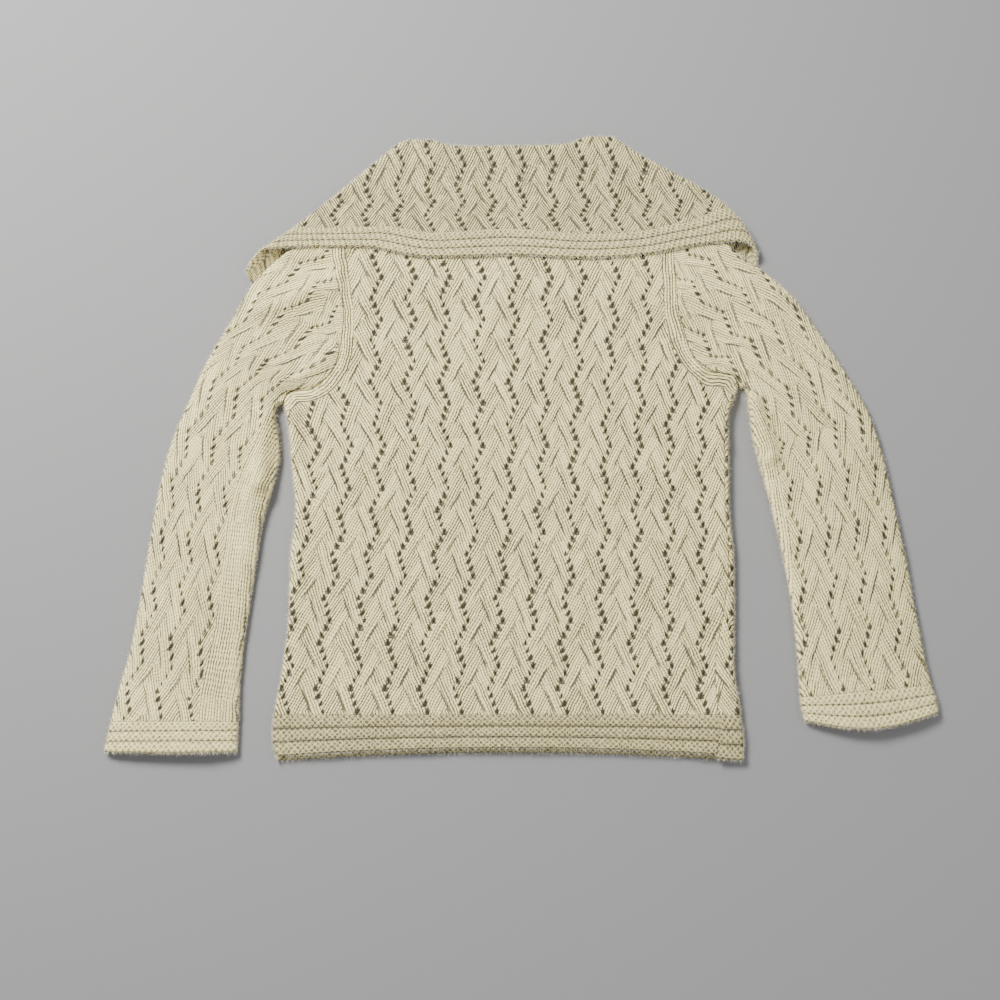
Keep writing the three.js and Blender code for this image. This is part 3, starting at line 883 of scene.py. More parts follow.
@dataclass(frozen=True)
class LaceFinish(Finish):
    """Pointelle lace: slanted ribs, zigzag columns of eyelets, and a groove between two columns.

    Across is counted in stitches and along in eyelet rows, of two courses each.
    """

    wool: Wool
    zigzag_rows: float = 3.0
    swing: float = 1.5
    boundary: float = 5.58
    stagger: float = 0.93
    fashioned: float = 4.3
    slant: float = 1.15
    tilt: float = 0.19
    uneven: float = 1.1
    # Darkens the whole finish evenly, by adding to its shade.
    deepened: float = 0.0
    contrast: float = 0.9
    faint: float = 0.0
    hole_width: float = 0.6
    hole_height: float = 0.5
    steep: float = 0.45
    clear: float = 0.8
    pull_scale: float = 90.0
    wave_scale: float = 26.0
    wave_reach: float = 3.5
    fell_at: float = 6.6
    fell_reach: float = 2.2
    rose_at: float = 4.65
    rose_reach: float = 1.8
    thread_scale: float = 1100.0
    drift_scale: float = 3.7
    rib_round: float = 1.9
    rib_rows: float = 0.21
    vee_slope: float = 2.8
    eyelet_lean: float = 0.85
    eyelet_taper: float = 0.9

    def fill(self, nodes: NodeTree) -> None:
        """Knits the lace.

        Args:
            nodes: The material's nodes.
        """
        place = nodes.place()
        pulled = nodes.pulls(place, self.pull_scale)
        u, v = read_map(nodes, Maps.KNIT)
        u = u + (pulled[0] - 0.5) * self.uneven
        v = v + (pulled[1] - 0.5) * self.uneven * 0.3
        edge, plain_side = read_map(nodes, Maps.EDGE)
        edge = edge + (pulled[2] - 0.5) * self.uneven
        edge = edge + (nodes.noise(place, self.wave_scale, 1.0) - 0.5) * self.wave_reach
        by_edge = edge.less(self.fashioned)
        plain = plain_side.more(0.5)
        lacy = (1.0 - by_edge) * (1.0 - plain)

        shift = self.swing - v.pingpong(self.zigzag_rows)
        across = (u - shift).wrap(0.0, REPEAT)
        half = self.zigzag_rows / 2
        falling = abs((v - half).wrap(-2 * half, 2 * half)).smooth(half + 0.4, half - 0.4)
        boundary = self.boundary - self.stagger + falling * (2 * self.stagger)
        right = across.less(boundary)
        slanted = u + v * (self.slant - right * (2.0 * self.slant))
        phase = by_edge.mix(plain.mix(slanted, u), edge)
        off_rib = abs(phase.wrap(0.0, 1.0) - 0.5) * 2.0
        chance = nodes.chance(nodes.join((phase + 0.5).round(), right, (v * self.rib_rows).round()))
        strength = chance * 0.9 + 0.5
        tent = (boundary - abs(across - boundary)) * lacy
        course = v + tent * self.tilt
        course = course + chance * 0.3
        gaps = (course * (4 * math.pi)).cos() * 0.5 + 0.5
        # The valleys between ribs are lowered in the relief and are also painted as shade.
        valley = off_rib**self.rib_round * (gaps * 0.25 + 0.75) * strength * (by_edge * 0.3 + 1.0)
        vees = (course * (4 * math.pi) - off_rib * self.vee_slope).cos()

        fell, fell_ridge = self.stroke(nodes, u, v, half, self.fell_at, -1.0, self.fell_reach)
        rose, rose_ridge = self.stroke(nodes, u, v, -half, self.rose_at, 1.0, self.rose_reach)
        groove = (fell + rose) * lacy
        ridge = (fell_ridge + rose_ridge) * lacy

        facing = nodes.split(nodes.add("ShaderNodeNewGeometry").outputs["Normal"])
        flat = abs(facing[2]).smooth(self.steep, self.steep + 0.3)
        hole = self.hole(nodes, u, v) + (1.0 - lacy) * 9.0
        shown = (1.0 - (1.0 - falling) * self.faint) * flat
        opening = 1.0 - hole.smooth(0.7, 0.3) * shown * self.clear
        # rim is painted shade round each eyelet, where the hole's inside would fall dark.
        rim = hole.smooth(2.3, 0.75) * shown

        relief = vees * 0.14 - valley * 1.1 - groove * 1.1 + ridge * 0.28
        height = relief * self.contrast + 0.6 - rim * 0.6
        # Painted shade in the rib valleys and the decrease grooves, less a painted highlight on the ridges
        # beside the grooves and on the stitches' tops; the eyelet rims add more painted shade.
        painted_knit_shade = valley * 1.75 + groove * 1.35 - ridge * 0.14 - vees * 0.19
        shade = painted_knit_shade * self.contrast + rim - 0.05 + self.deepened
        self.wool.dress(nodes, height, shade, self.wool.light, opening)

    def stroke(
        self, nodes: NodeTree, u: Value, v: Value, row: float, at: float, lean: float, reach: float
    ) -> tuple[Value, Value]:
        """The line that the decreases draw in each half of the zigzag, and the ridge beside it.

        Args:
            nodes: The material's nodes.
            u: Stitches across.
            v: Eyelet rows along.
            row: Row of the line's middle.
            at: Stitches from the column's middle to the line's.
            lean: 1 where it leans right, -1 where it leans left.
            reach: Rows that it runs either way.
        Returns:
            How deep the line is and how high the ridge.
        """
        period = 2 * self.zigzag_rows
        dv = (v - row).wrap(-self.zigzag_rows, self.zigzag_rows)
        off = u - at - dv * (lean * self.slant * 1.06)
        turn = ((v - row - dv) / period).round()
        strength = nodes.chance(nodes.join((off / REPEAT).round(), turn, lean)) * 0.7 + 0.45
        away = off.wrap(-REPEAT / 2, REPEAT / 2)
        fading = abs(dv + 0.2).smooth(reach, reach * 0.35) * strength
        beside = away + lean * 0.75
        return (away * away * -8.0).exp() * fading, (beside * beside * -6.0).exp() * fading

    def hole(self, nodes: NodeTree, u: Value, v: Value) -> Value:
        """The eyelets.

        Args:
            nodes: The material's nodes.
            u: Stitches across.
            v: Eyelet rows along.
        Returns:
            Distance from the nearest eyelet's middle, squared, 1 at its edge.
        """
        row = v.round()
        shift = self.swing - row.pingpong(self.zigzag_rows)
        column = ((u - shift) / REPEAT).round()
        du = u - shift - column * REPEAT
        dv = v - row
        slant = (row * (math.pi / self.zigzag_rows)).sin()
        eyelet = nodes.join(column, row, 0.0)
        size = nodes.chance(eyelet) * 0.6 + 0.6
        drift = (nodes.noise(eyelet, self.drift_scale, 0.0) - 0.5) * 0.5
        fray = (nodes.noise(nodes.place(), self.thread_scale, 2.0) - 0.5) * 0.8
        taper = 1.0 - dv * self.eyelet_taper
        wide = (du + drift - dv * slant * self.eyelet_lean) / (size * self.hole_width * taper)
        tall = dv / (size * self.hole_height)
        return wide * wide + tall * tall + fray


@dataclass(frozen=True)
class GarterFinish(Finish):
    """Garter stitch: rows of purl bumps over the soft welts of the shell."""

    wool: Wool
    # Darkens the whole finish evenly, by adding to its shade.
    deepened: float = 0.16
    pull_scale: float = 190.0
    uneven: float = 1.5
    uneven_rows: float = 1.3
    pit_width: float = 1.8

    def fill(self, nodes: NodeTree) -> None:
        """Knits the garter stitch.

        Args:
            nodes: The material's nodes.
        """
        u, v = read_map(nodes, Maps.KNIT)
        pulled = nodes.pulls(nodes.place(), self.pull_scale)
        u = u + (pulled[0] - 0.5) * self.uneven
        v = v + (pulled[1] - 0.5) * self.uneven_rows
        welt, _ = read_map(nodes, Maps.EDGE)
        dots = (u * (2 * math.pi / self.pit_width)).cos() * (v * math.pi).cos()
        bumps = (u * (4 * math.pi / self.pit_width)).cos() * (v * (2 * math.pi)).sin()
        pits = dots.smooth(-0.35, 0.9) * (pulled[2] * 1.3 + 0.25)
        furrow = (abs(welt.wrap(0.0, 1.0) - 0.5) * 2.0) ** 7.0
        furrow = furrow * welt.smooth(0.3, 0.6) * welt.smooth(2.7, 2.4)
        height = 0.6 - pits * 0.8 - furrow * 0.6 + bumps * 0.16
        # Painted shade in the pits between purl bumps and in the furrows between welts, less a painted
        # highlight on the bumps' tops.
        shade = pits * 0.54 + furrow * 0.66 - bumps * 0.14 + self.deepened
        self.wool.dress(nodes, height, shade, self.wool.light, None)


@dataclass(frozen=True)
class ReverseFinish(Finish):
    """The reverse side of the knit, where it shows: ridges of purl bumps with painted shade in their
    troughs, in a darker colour that is partly the reverse side's own look and partly painted shade.
    """

    wool: Wool

    def fill(self, nodes: NodeTree) -> None:
        """Knits the reverse side.

        Args:
            nodes: The material's nodes.
        """
        u, v = read_map(nodes, Maps.KNIT)
        ridge = (v * (4 * math.pi) + (u * (2 * math.pi)).cos() * 1.3).cos()
        rib = (u * (2 * math.pi)).cos()
        height = ridge * 0.2 + rib * 0.12 + 0.5
        # Painted shade in the troughs between the ridges and the ribs.
        shade = ((0.5 - ridge * 0.5) * 0.26 + (0.5 - rib * 0.5) * 0.16).clamp()
        self.wool.dress(nodes, height, shade, self.wool.reverse, None)


@dataclass(frozen=True)
class FibreFinish(Finish):
    """Single fibres that stand off the yarn."""

    wool: Wool
    colour: tuple[float, float, float, float] = (0.9, 0.84, 0.66, 1)
    cloud_scale: float = 300.0
    specular: float = 0.1

    def fill(self, nodes: NodeTree) -> None:
        """Colours the fibres.

        Args:
            nodes: The material's nodes.
        """
        depth = nodes.noise(nodes.place(), self.cloud_scale, 1.0).smooth(0.35, 0.8) * 0.35
        shader = nodes.add(
            "ShaderNodeBsdfPrincipled",
            {},
            Base_Color=nodes.blend(depth, self.colour, self.wool.dark),
            Roughness=self.wool.roughness,
            Sheen_Weight=self.wool.sheen,
            Sheen_Roughness=self.wool.sheen_roughness,
            Specular_IOR_Level=self.specular,
        )
        nodes.add("ShaderNodeOutputMaterial", {}, Surface=shader.outputs[0])


@dataclass(frozen=True)
class Finishes:
    """The finishes of the whole garment."""

    lace: bpy.types.Material
    sleeve: bpy.types.Material
    collar: bpy.types.Material
    garter: bpy.types.Material
    border: bpy.types.Material
    hem: bpy.types.Material
    reverse: bpy.types.Material
    fibre: bpy.types.Material

    @staticmethod
    def build() -> "Finishes":
        """Makes each finish once.

        Returns:
            The finished materials.
        """
        wool = Wool()
        return Finishes(
            lace=LaceFinish(wool).material("lace_knit"),
            sleeve=LaceFinish(
                wool, deepened=0.03, contrast=0.74, faint=0.4, hole_width=0.5, hole_height=0.42
            ).material("sleeve_knit"),
            collar=LaceFinish(wool, deepened=0.31).material("collar_knit"),
            garter=GarterFinish(wool).material("garter_knit"),
            border=GarterFinish(wool, deepened=0.4).material("border_knit"),
            hem=GarterFinish(wool, deepened=0.5).material("hem_knit"),
            reverse=ReverseFinish(wool).material("knit_reverse"),
            fibre=FibreFinish(wool).material("loose_fibre"),
        )


# ------------------------------------------------------------------------------ shells of cloth
@dataclass
class Sheet:
    """Points in the middle of the cloth, in rows and columns, with what goes with them.

    points and facing are (rows, columns, 3), knit and edge are (rows, columns, 2). closed sheets
    are tubes whose last column meets the first. swell is a share of the cloth's thickness. free
    names the ends that are free edges, of first_row, last_row, first_column and last_column.
    folded says for each row how far its ends are rounded, from 0 at an armhole to 1 at a side.
    """

    points: np.ndarray
    facing: np.ndarray
    knit: np.ndarray
    edge: np.ndarray
    closed: bool = False
    swell: np.ndarray | None = None
    free: frozenset[str] = frozenset()
    folded: np.ndarray | None = None

    def rims(self) -> list[str]:
        """The ends from which fibres stand out."""
        return sorted(self.free if self.closed else self.free | {"first_column", "last_column"})

    def seams(self) -> np.ndarray:
        """Finds the ends that are sewn.

        Returns:
            Whether each point lies on an end that is sewn, and so keeps a sharp turn.
        """
        sewn = np.zeros(self.points.shape[:2], dtype=bool)
        ends = {"first_row": (0, slice(None)), "last_row": (-1, slice(None))}
        if not self.closed:
            ends |= {"first_column": (slice(None), 0), "last_column": (slice(None), -1)}
        for name, place in ends.items():
            if name not in self.free:
                sewn[place] = True
        if self.folded is not None:
            sewn[self.folded > 0.5] = False
        return sewn

    def area(self) -> float:
        """Adds up the two halves of every cell.

        Returns:
            The sheet's area in square metres.
        """
        p = self.points * MM
        first = np.linalg.norm(np.cross(p[1:, :-1] - p[:-1, :-1], p[:-1, 1:] - p[:-1, :-1]), axis=-1)
        second = np.linalg.norm(np.cross(p[1:, :-1] - p[1:, 1:], p[:-1, 1:] - p[1:, 1:]), axis=-1)
        return float((first.sum() + second.sum()) / 2)


@dataclass(frozen=True)
class Cut:
    """The flat cut of a piece of cloth, in metres: its width, its length and its area."""

    width: float
    length: float
    area: float


@dataclass(frozen=True)
class Fuzz:
    """Fibres that stand off the cloth: thin closed spikes, joined into one mesh."""

    seed: int = 20
    face_share: float = 0.015
    side_share: float = 1.6
    edge_share: float = 2.2
    shortest: float = 2.0
    longest: float = 6.5
    thickness: float = 0.18
    floor: float = 0.05
    lowest_facing: float = -0.3
    spread: float = 0.45
    bend: float = 0.35
    knee: float = 0.55
    knee_size: float = 0.75

    def roots(
        self, sheet: Sheet, half: np.ndarray, chance: np.random.Generator
    ) -> tuple[np.ndarray, np.ndarray]:
        """Places the fibres.

        Args:
            sheet: The middle of the cloth.
            half: Half its thickness at each point.
            chance: The random numbers.
        Returns:
            Where the fibres start and which way they grow.
        """
        skin = sheet.points + sheet.facing * half[..., None]
        p00, p01, p10 = skin[:-1, :-1], skin[:-1, 1:], skin[1:, :-1]
        area = np.linalg.norm(np.cross(p10 - p00, p01 - p00), axis=-1)
        up = sheet.facing[:-1, :-1, 2]
        share = area * (self.face_share + self.side_share * (1 - np.abs(up)) ** 2)
        share = share * (up > self.lowest_facing)
        count = int(share.sum())
        cell = chance.choice(share.size, count, p=share.ravel() / share.sum())
        row, column = np.unravel_index(cell, share.shape)
        a, b = chance.random((2, count, 1))
        start = p00[row, column] + (p10 - p00)[row, column] * a + (p01 - p00)[row, column] * b
        facing = sheet.facing[row, column]
        tangent = np.cross(facing, chance.normal(size=(count, 3)))
        starts = [start]
        ways = [unit(tangent) + facing * chance.uniform(0.1, 0.8, (count, 1))]
        for name in sheet.rims():
            order = name.startswith("last")
            points, looks = sheet.points, sheet.facing
            if name.endswith("column"):
                points, looks = points.swapaxes(0, 1), looks.swapaxes(0, 1)
            line, inner = (points[i] for i in ((-1, -3) if order else (0, 2)))
            face = looks[-1 if order else 0]
            length = run(line)
            count = int(length[-1] * self.edge_share)
            at = chance.random(count) * length[-1]

            def along(grid: np.ndarray) -> np.ndarray:
                """What a row of points along the rim gives where the fibres are."""
                return np.stack([np.interp(at, length, grid[:, k]) for k in range(3)], axis=-1)

            starts.append(along(line) + along(face) * chance.uniform(-0.5, 0.7, (count, 1)))
            ways.append(along(unit(line - inner)) + chance.normal(scale=self.spread, size=(count, 3)))
        return np.concatenate(starts), unit(np.concatenate(ways))

    def grow(
        self, name: str, sheet: Sheet, half: np.ndarray, placement: Placement, finish: bpy.types.Material
    ) -> bpy.types.Object:
        """Grows the fibres.

        Args:
            name: The mesh's name.
            sheet: The middle of the cloth.
            half: Half its thickness at each point.
            placement: Where the pattern lies in the frame.
            finish: The fibres' finish.
        Returns:
            The fibres as one object.
        """
        chance = np.random.default_rng(self.seed)
        start, way = self.roots(sheet, half, chance)
        count = len(start)
        length = chance.uniform(self.shortest, self.longest, (count, 1)) * chance.uniform(0.5, 1, (count, 1))
        sag = unit(chance.normal(size=(count, 3))) * length * self.bend
        side = unit(np.cross(way, chance.normal(size=(count, 3))))
        other = np.cross(way, side)
        rings = []
        for t, size in ((0.0, 1.0), (self.knee, self.knee_size)):
            middle = start + way * length * t + sag * t * t
            for k in range(3):
                angle = 2 * math.pi * k / 3
                spoke = side * math.cos(angle) + other * math.sin(angle)
                rings.append(middle + spoke * self.thickness / 2 * size)
        rings.append(start + way * length + sag)
        points = np.stack(rings, axis=1).reshape(-1, 3)
        points[:, 2] = np.maximum(points[:, 2], self.floor)
        corners = [(0, 2, 1)]
        for k in range(3):
            n = (k + 1) % 3
            corners += [(k, n, n + 3), (k, n + 3, k + 3), (k + 3, n + 3, 6)]
        faces = (np.array(corners)[None] + np.arange(count)[:, None, None] * 7).reshape(-1, 3)
        mesh = bpy.data.meshes.new(name)
        mesh.from_pydata(placement.metres(points).tolist(), [], faces.tolist())
        mesh.materials.append(finish)
        mesh.shade_smooth()
        mesh.update()
        fibres = bpy.data.objects.new(name, mesh)
        bpy.context.scene.collection.objects.link(fibres)
        LOG.info("%s: %d fibres", name, count)
        return fibres


class ClothPiece:
    """A piece of the garment: the shell of a sheet, its finish and its place in the frame."""

    def __init__(
        self, node: str, slot: str, cut: Cut, rests_on: Sequence[str], placement: Placement
    ) -> None:
        """Keeps the piece's node, slot, cut, what it lies on and its placement.

        Args:
            node: The frame's node that it stands for.
            slot: The name of a material slot; not used.
            cut: Its flat cut; not used.
            rests_on: What it lies on.
            placement: Where the pattern lies in the frame.
        """
        self.node = node
        self.slot = slot
        self.cut = cut
        self.rests_on = list(rests_on)
        self.placement = placement

    def build(
        self, sheet: Sheet, outer: bpy.types.Material, inner: bpy.types.Material, fibre: bpy.types.Material
    ) -> bpy.types.Object:
        """Makes the shell with its fibres and hands them to the frame.

        Args:
            sheet: The middle of the cloth.
            outer: Finish of the right side.
            inner: Finish of the reverse side.
            fibre: Finish of the loose fibres.
        Returns:
            The finished object.
        """
        vertices, quads, corners, inside, sewn = self.shell(sheet)
        mesh = bpy.data.meshes.new(f"{self.node}_knit")
        mesh.from_pydata(self.placement.metres(vertices).tolist(), [], quads.tolist())
        for name, values in ((Maps.KNIT, sheet.knit), (Maps.EDGE, sheet.edge)):
            layer = mesh.uv_layers.new(name=name.value)
            flat = values.reshape(-1, 2)[corners.reshape(-1)]
            layer.data.foreach_set("uv", flat.astype(np.float32).reshape(-1))
        mesh.materials.append(outer)
        mesh.materials.append(inner)
        mesh.polygons.foreach_set("material_index", inside.astype(np.int32))
        mesh.shade_smooth()
        mesh.update()
        ends = np.empty(len(mesh.edges) * 2, dtype=np.int32)
        mesh.edges.foreach_get("vertices", ends)
        skins = sewn[ends.reshape(-1, 2)]
        sharp = mesh.attributes.new("sharp_edge", "BOOLEAN", "EDGE")
        sharp.data.foreach_set("value", (skins[:, 0] > 0) & (skins[:, 0] == skins[:, 1]))
        piece = bpy.data.objects.new(f"{self.node}_knit", mesh)
        bpy.context.scene.collection.objects.link(piece)
        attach(piece, "root")
        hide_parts(self.node)
        fibres = Fuzz().grow(f"{self.node}_fibres", sheet, self.half_thickness(sheet), self.placement, fibre)
        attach(fibres, "root")
        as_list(self.rests_on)
        LOG.info("%s: %d quads, %.4f square metres", self.node, len(quads), sheet.area())
        return piece

    def shell(self, sheet: Sheet) -> tuple[np.ndarray, ...]:
        """Lays a skin on either side of the sheet and closes the rim.

        Args:
            sheet: The middle of the cloth.
        Returns:
            The vertices, the quads, each quad's places in the sheet, 1 for inside quads, and for
            each vertex 1 or 2, its skin, where it lies on a sewn end and 0 elsewhere.
        """
        rows, columns = sheet.points.shape[:2]
        half = self.half_thickness(sheet)
        half = (half if sheet.swell is None else half * sheet.swell)[..., None]
        skins = [sheet.points + sheet.facing * half, sheet.points - sheet.facing * half]
        vertices = np.concatenate([skin.reshape(-1, 3) for skin in skins])
        place = np.arange(rows * columns).reshape(rows, columns)
        vertex = place.copy()
        if sheet.closed:
            vertex[:, -1] = vertex[:, 0]
        skin_size = rows * columns

        def quads_of(ids: np.ndarray) -> np.ndarray:
            """The four numbers of each cell of a grid of numbers."""
            cell = (ids[:-1, :-1], ids[:-1, 1:], ids[1:, 1:], ids[1:, :-1])
            return np.stack(cell, axis=-1).reshape(-1, 4)

        faces, corners = quads_of(vertex), quads_of(place)
        p = sheet.points
        middle = (rows // 2, columns // 3)
        down = p[middle[0] + 1, middle[1]] - p[middle]
        along = p[middle[0], middle[1] + 1] - p[middle]
        if np.dot(np.cross(along, down), sheet.facing[middle]) < 0:
            faces, corners = faces[:, ::-1], corners[:, ::-1]
        inner_faces, inner_corners = faces[:, ::-1] + skin_size, corners[:, ::-1]

        sides = [(vertex[0], place[0]), (vertex[-1, ::-1], place[-1, ::-1])]
        if not sheet.closed:
            sides += [(vertex[::-1, 0], place[::-1, 0]), (vertex[:, -1], place[:, -1])]
        rim_faces, rim_corners = [], []
        for ids, spots in sides:
            rim_faces.append(np.stack((ids[1:], ids[:-1], ids[:-1] + skin_size, ids[1:] + skin_size), 1))
            rim_corners.append(np.stack((spots[1:], spots[:-1], spots[:-1], spots[1:]), 1))
        rim, rim_spots = np.concatenate(rim_faces), np.concatenate(rim_corners)
        if np.dot(np.cross(along, down), sheet.facing[middle]) < 0:
            rim, rim_spots = rim[:, ::-1], rim_spots[:, ::-1]
        quads = np.concatenate((faces, inner_faces, rim))
        spots = np.concatenate((corners, inner_corners, rim_spots))
        inside = np.zeros(len(quads))
        inside[len(faces) : len(faces) * 2] = 1
        used, numbers = np.unique(quads, return_inverse=True)
        flat = sheet.seams().reshape(-1).astype(np.int32)
        sewn = np.concatenate((flat, flat * 2))[used]
        return vertices[used], numbers.reshape(quads.shape), spots, inside, sewn

    @staticmethod
    def half_thickness(sheet: Sheet) -> np.ndarray:
        """How thick the cloth is.

        Args:
            sheet: The middle of the cloth.
        Returns:
            Half the thickness at each point, less at the edges, which are rounded.
        """
        share = np.ones(sheet.points.shape[:2])
        for axis, name in ((0, "row"), (1, "column")):
            if sheet.closed and axis == 1:
                continue
            from_start = run(sheet.points, axis)
            total = from_start[-1:, :] if axis == 0 else from_start[:, -1:]
            for end, distance in (("first", from_start), ("last", total - from_start)):
                inward = 1 - np.clip(distance / CLOTH.edge_round, 0, 1)
                thin = CLOTH.edge_share if f"{end}_{name}" in sheet.free else CLOTH.seam_share
                if sheet.folded is not None and axis == 1:
                    thin = mix(thin, CLOTH.edge_share, sheet.folded[:, None])
                share = np.minimum(share, mix(thin, 1, np.sqrt(1 - inward * inward)))
        return share * CLOTH.wall / 2


def found_facing(points: np.ndarray, up_at: tuple[int, int]) -> np.ndarray:
    """The way that a sheet looks, from its own points.

    Args:
        points: The sheet's points.
        up_at: A place where the right side looks up.
    Returns:
        Directions of length 1.
    """
    rows = np.gradient(points, axis=0)
    columns = np.gradient(points, axis=1)
    facing = unit(np.cross(rows, columns))
    if facing[up_at][2] < 0:
        facing = -facing
    return facing


def lace_map(rows: Sequence[LaceRow], across: np.ndarray, at: np.ndarray) -> np.ndarray:
    """The map of stitches of a lace piece.

    Args:
        rows: Where the eyelets run.
        across: Distance across, in millimetres.
        at: Where the rows are read.
    Returns:
        Stitches across and eyelet rows along.
    """
    table = Table(rows, [row.at for row in rows])
    off = across - table.read("first", at)
    spacing = np.where(off < 0, table.read("left", at), table.read("right", at))
    return np.stack((off / spacing * REPEAT, table.read("row", at)), axis=-1)


def distance_to(
    line: np.ndarray, x: np.ndarray, y: np.ndarray, endless: bool
) -> tuple[np.ndarray, np.ndarray]:
    """Distance from points to a line in the plan, and how far along it the nearest spot is.

    Args:
        line: Points of the line, (n, 2), close together.
        x: Across the pattern.
        y: Up the pattern.
        endless: Whether the line goes on straight past its ends.
    Returns:
        The distances and the lengths along.
    """
    steps = np.diff(line, axis=0)
    lengths = np.linalg.norm(steps, axis=1)
    start = np.concatenate(([0], np.cumsum(lengths)))[:-1]
    best = np.full(x.shape, np.inf)
    place = np.zeros(x.shape)
    for k, (origin, step, length) in enumerate(zip(line[:-1], steps, lengths)):
        t = ((x - origin[0]) * step[0] + (y - origin[1]) * step[1]) / (length * length)
        low = -ENDLESS if endless and k == 0 else 0.0
        high = ENDLESS if endless and k == len(steps) - 1 else 1.0
        t = np.clip(t, low, high)
        away = np.hypot(x - origin[0] - t * step[0], y - origin[1] - t * step[1])
        nearer = away < best
        best = np.where(nearer, away, best)
        place = np.where(nearer, start[k] + t * length, place)
    return best, place


CUTS = {
    "back": Cut(0.465, 0.56, 0.222),
    "front": Cut(0.245, 0.56, 0.111),
    "hem_back": Cut(0.46, 0.04, 0.0179),
    "hem_front_left": Cut(0.235, 0.04, 0.0091),
    "hem_front_right": Cut(0.24, 0.044, 0.0099),
    "sleeve_left": Cut(0.30, 0.57, 0.108),
    "sleeve_right": Cut(0.31, 0.57, 0.115),
    "cuff": Cut(0.26, 0.031, 0.0079),
    "collar": Cut(0.86, 0.15, 0.098),
    "collar_border": Cut(1.03, 0.032, 0.0298),
}


# ------------------------------------------------------------------------------ the body
@dataclass(frozen=True)
class PanelShape:
    """Which panel of the body: its layer and the seams that it runs between.

    An end is a side seam, or None for the centre front.
    """

    layer: Layer
    start: Side | None
    end: Side | None


BACK = PanelShape(Layer.UPPER, Side.LEFT, Side.RIGHT)
FRONT_LEFT = PanelShape(Layer.LOWER, Side.LEFT, None)
FRONT_RIGHT = PanelShape(Layer.LOWER, None, Side.RIGHT)


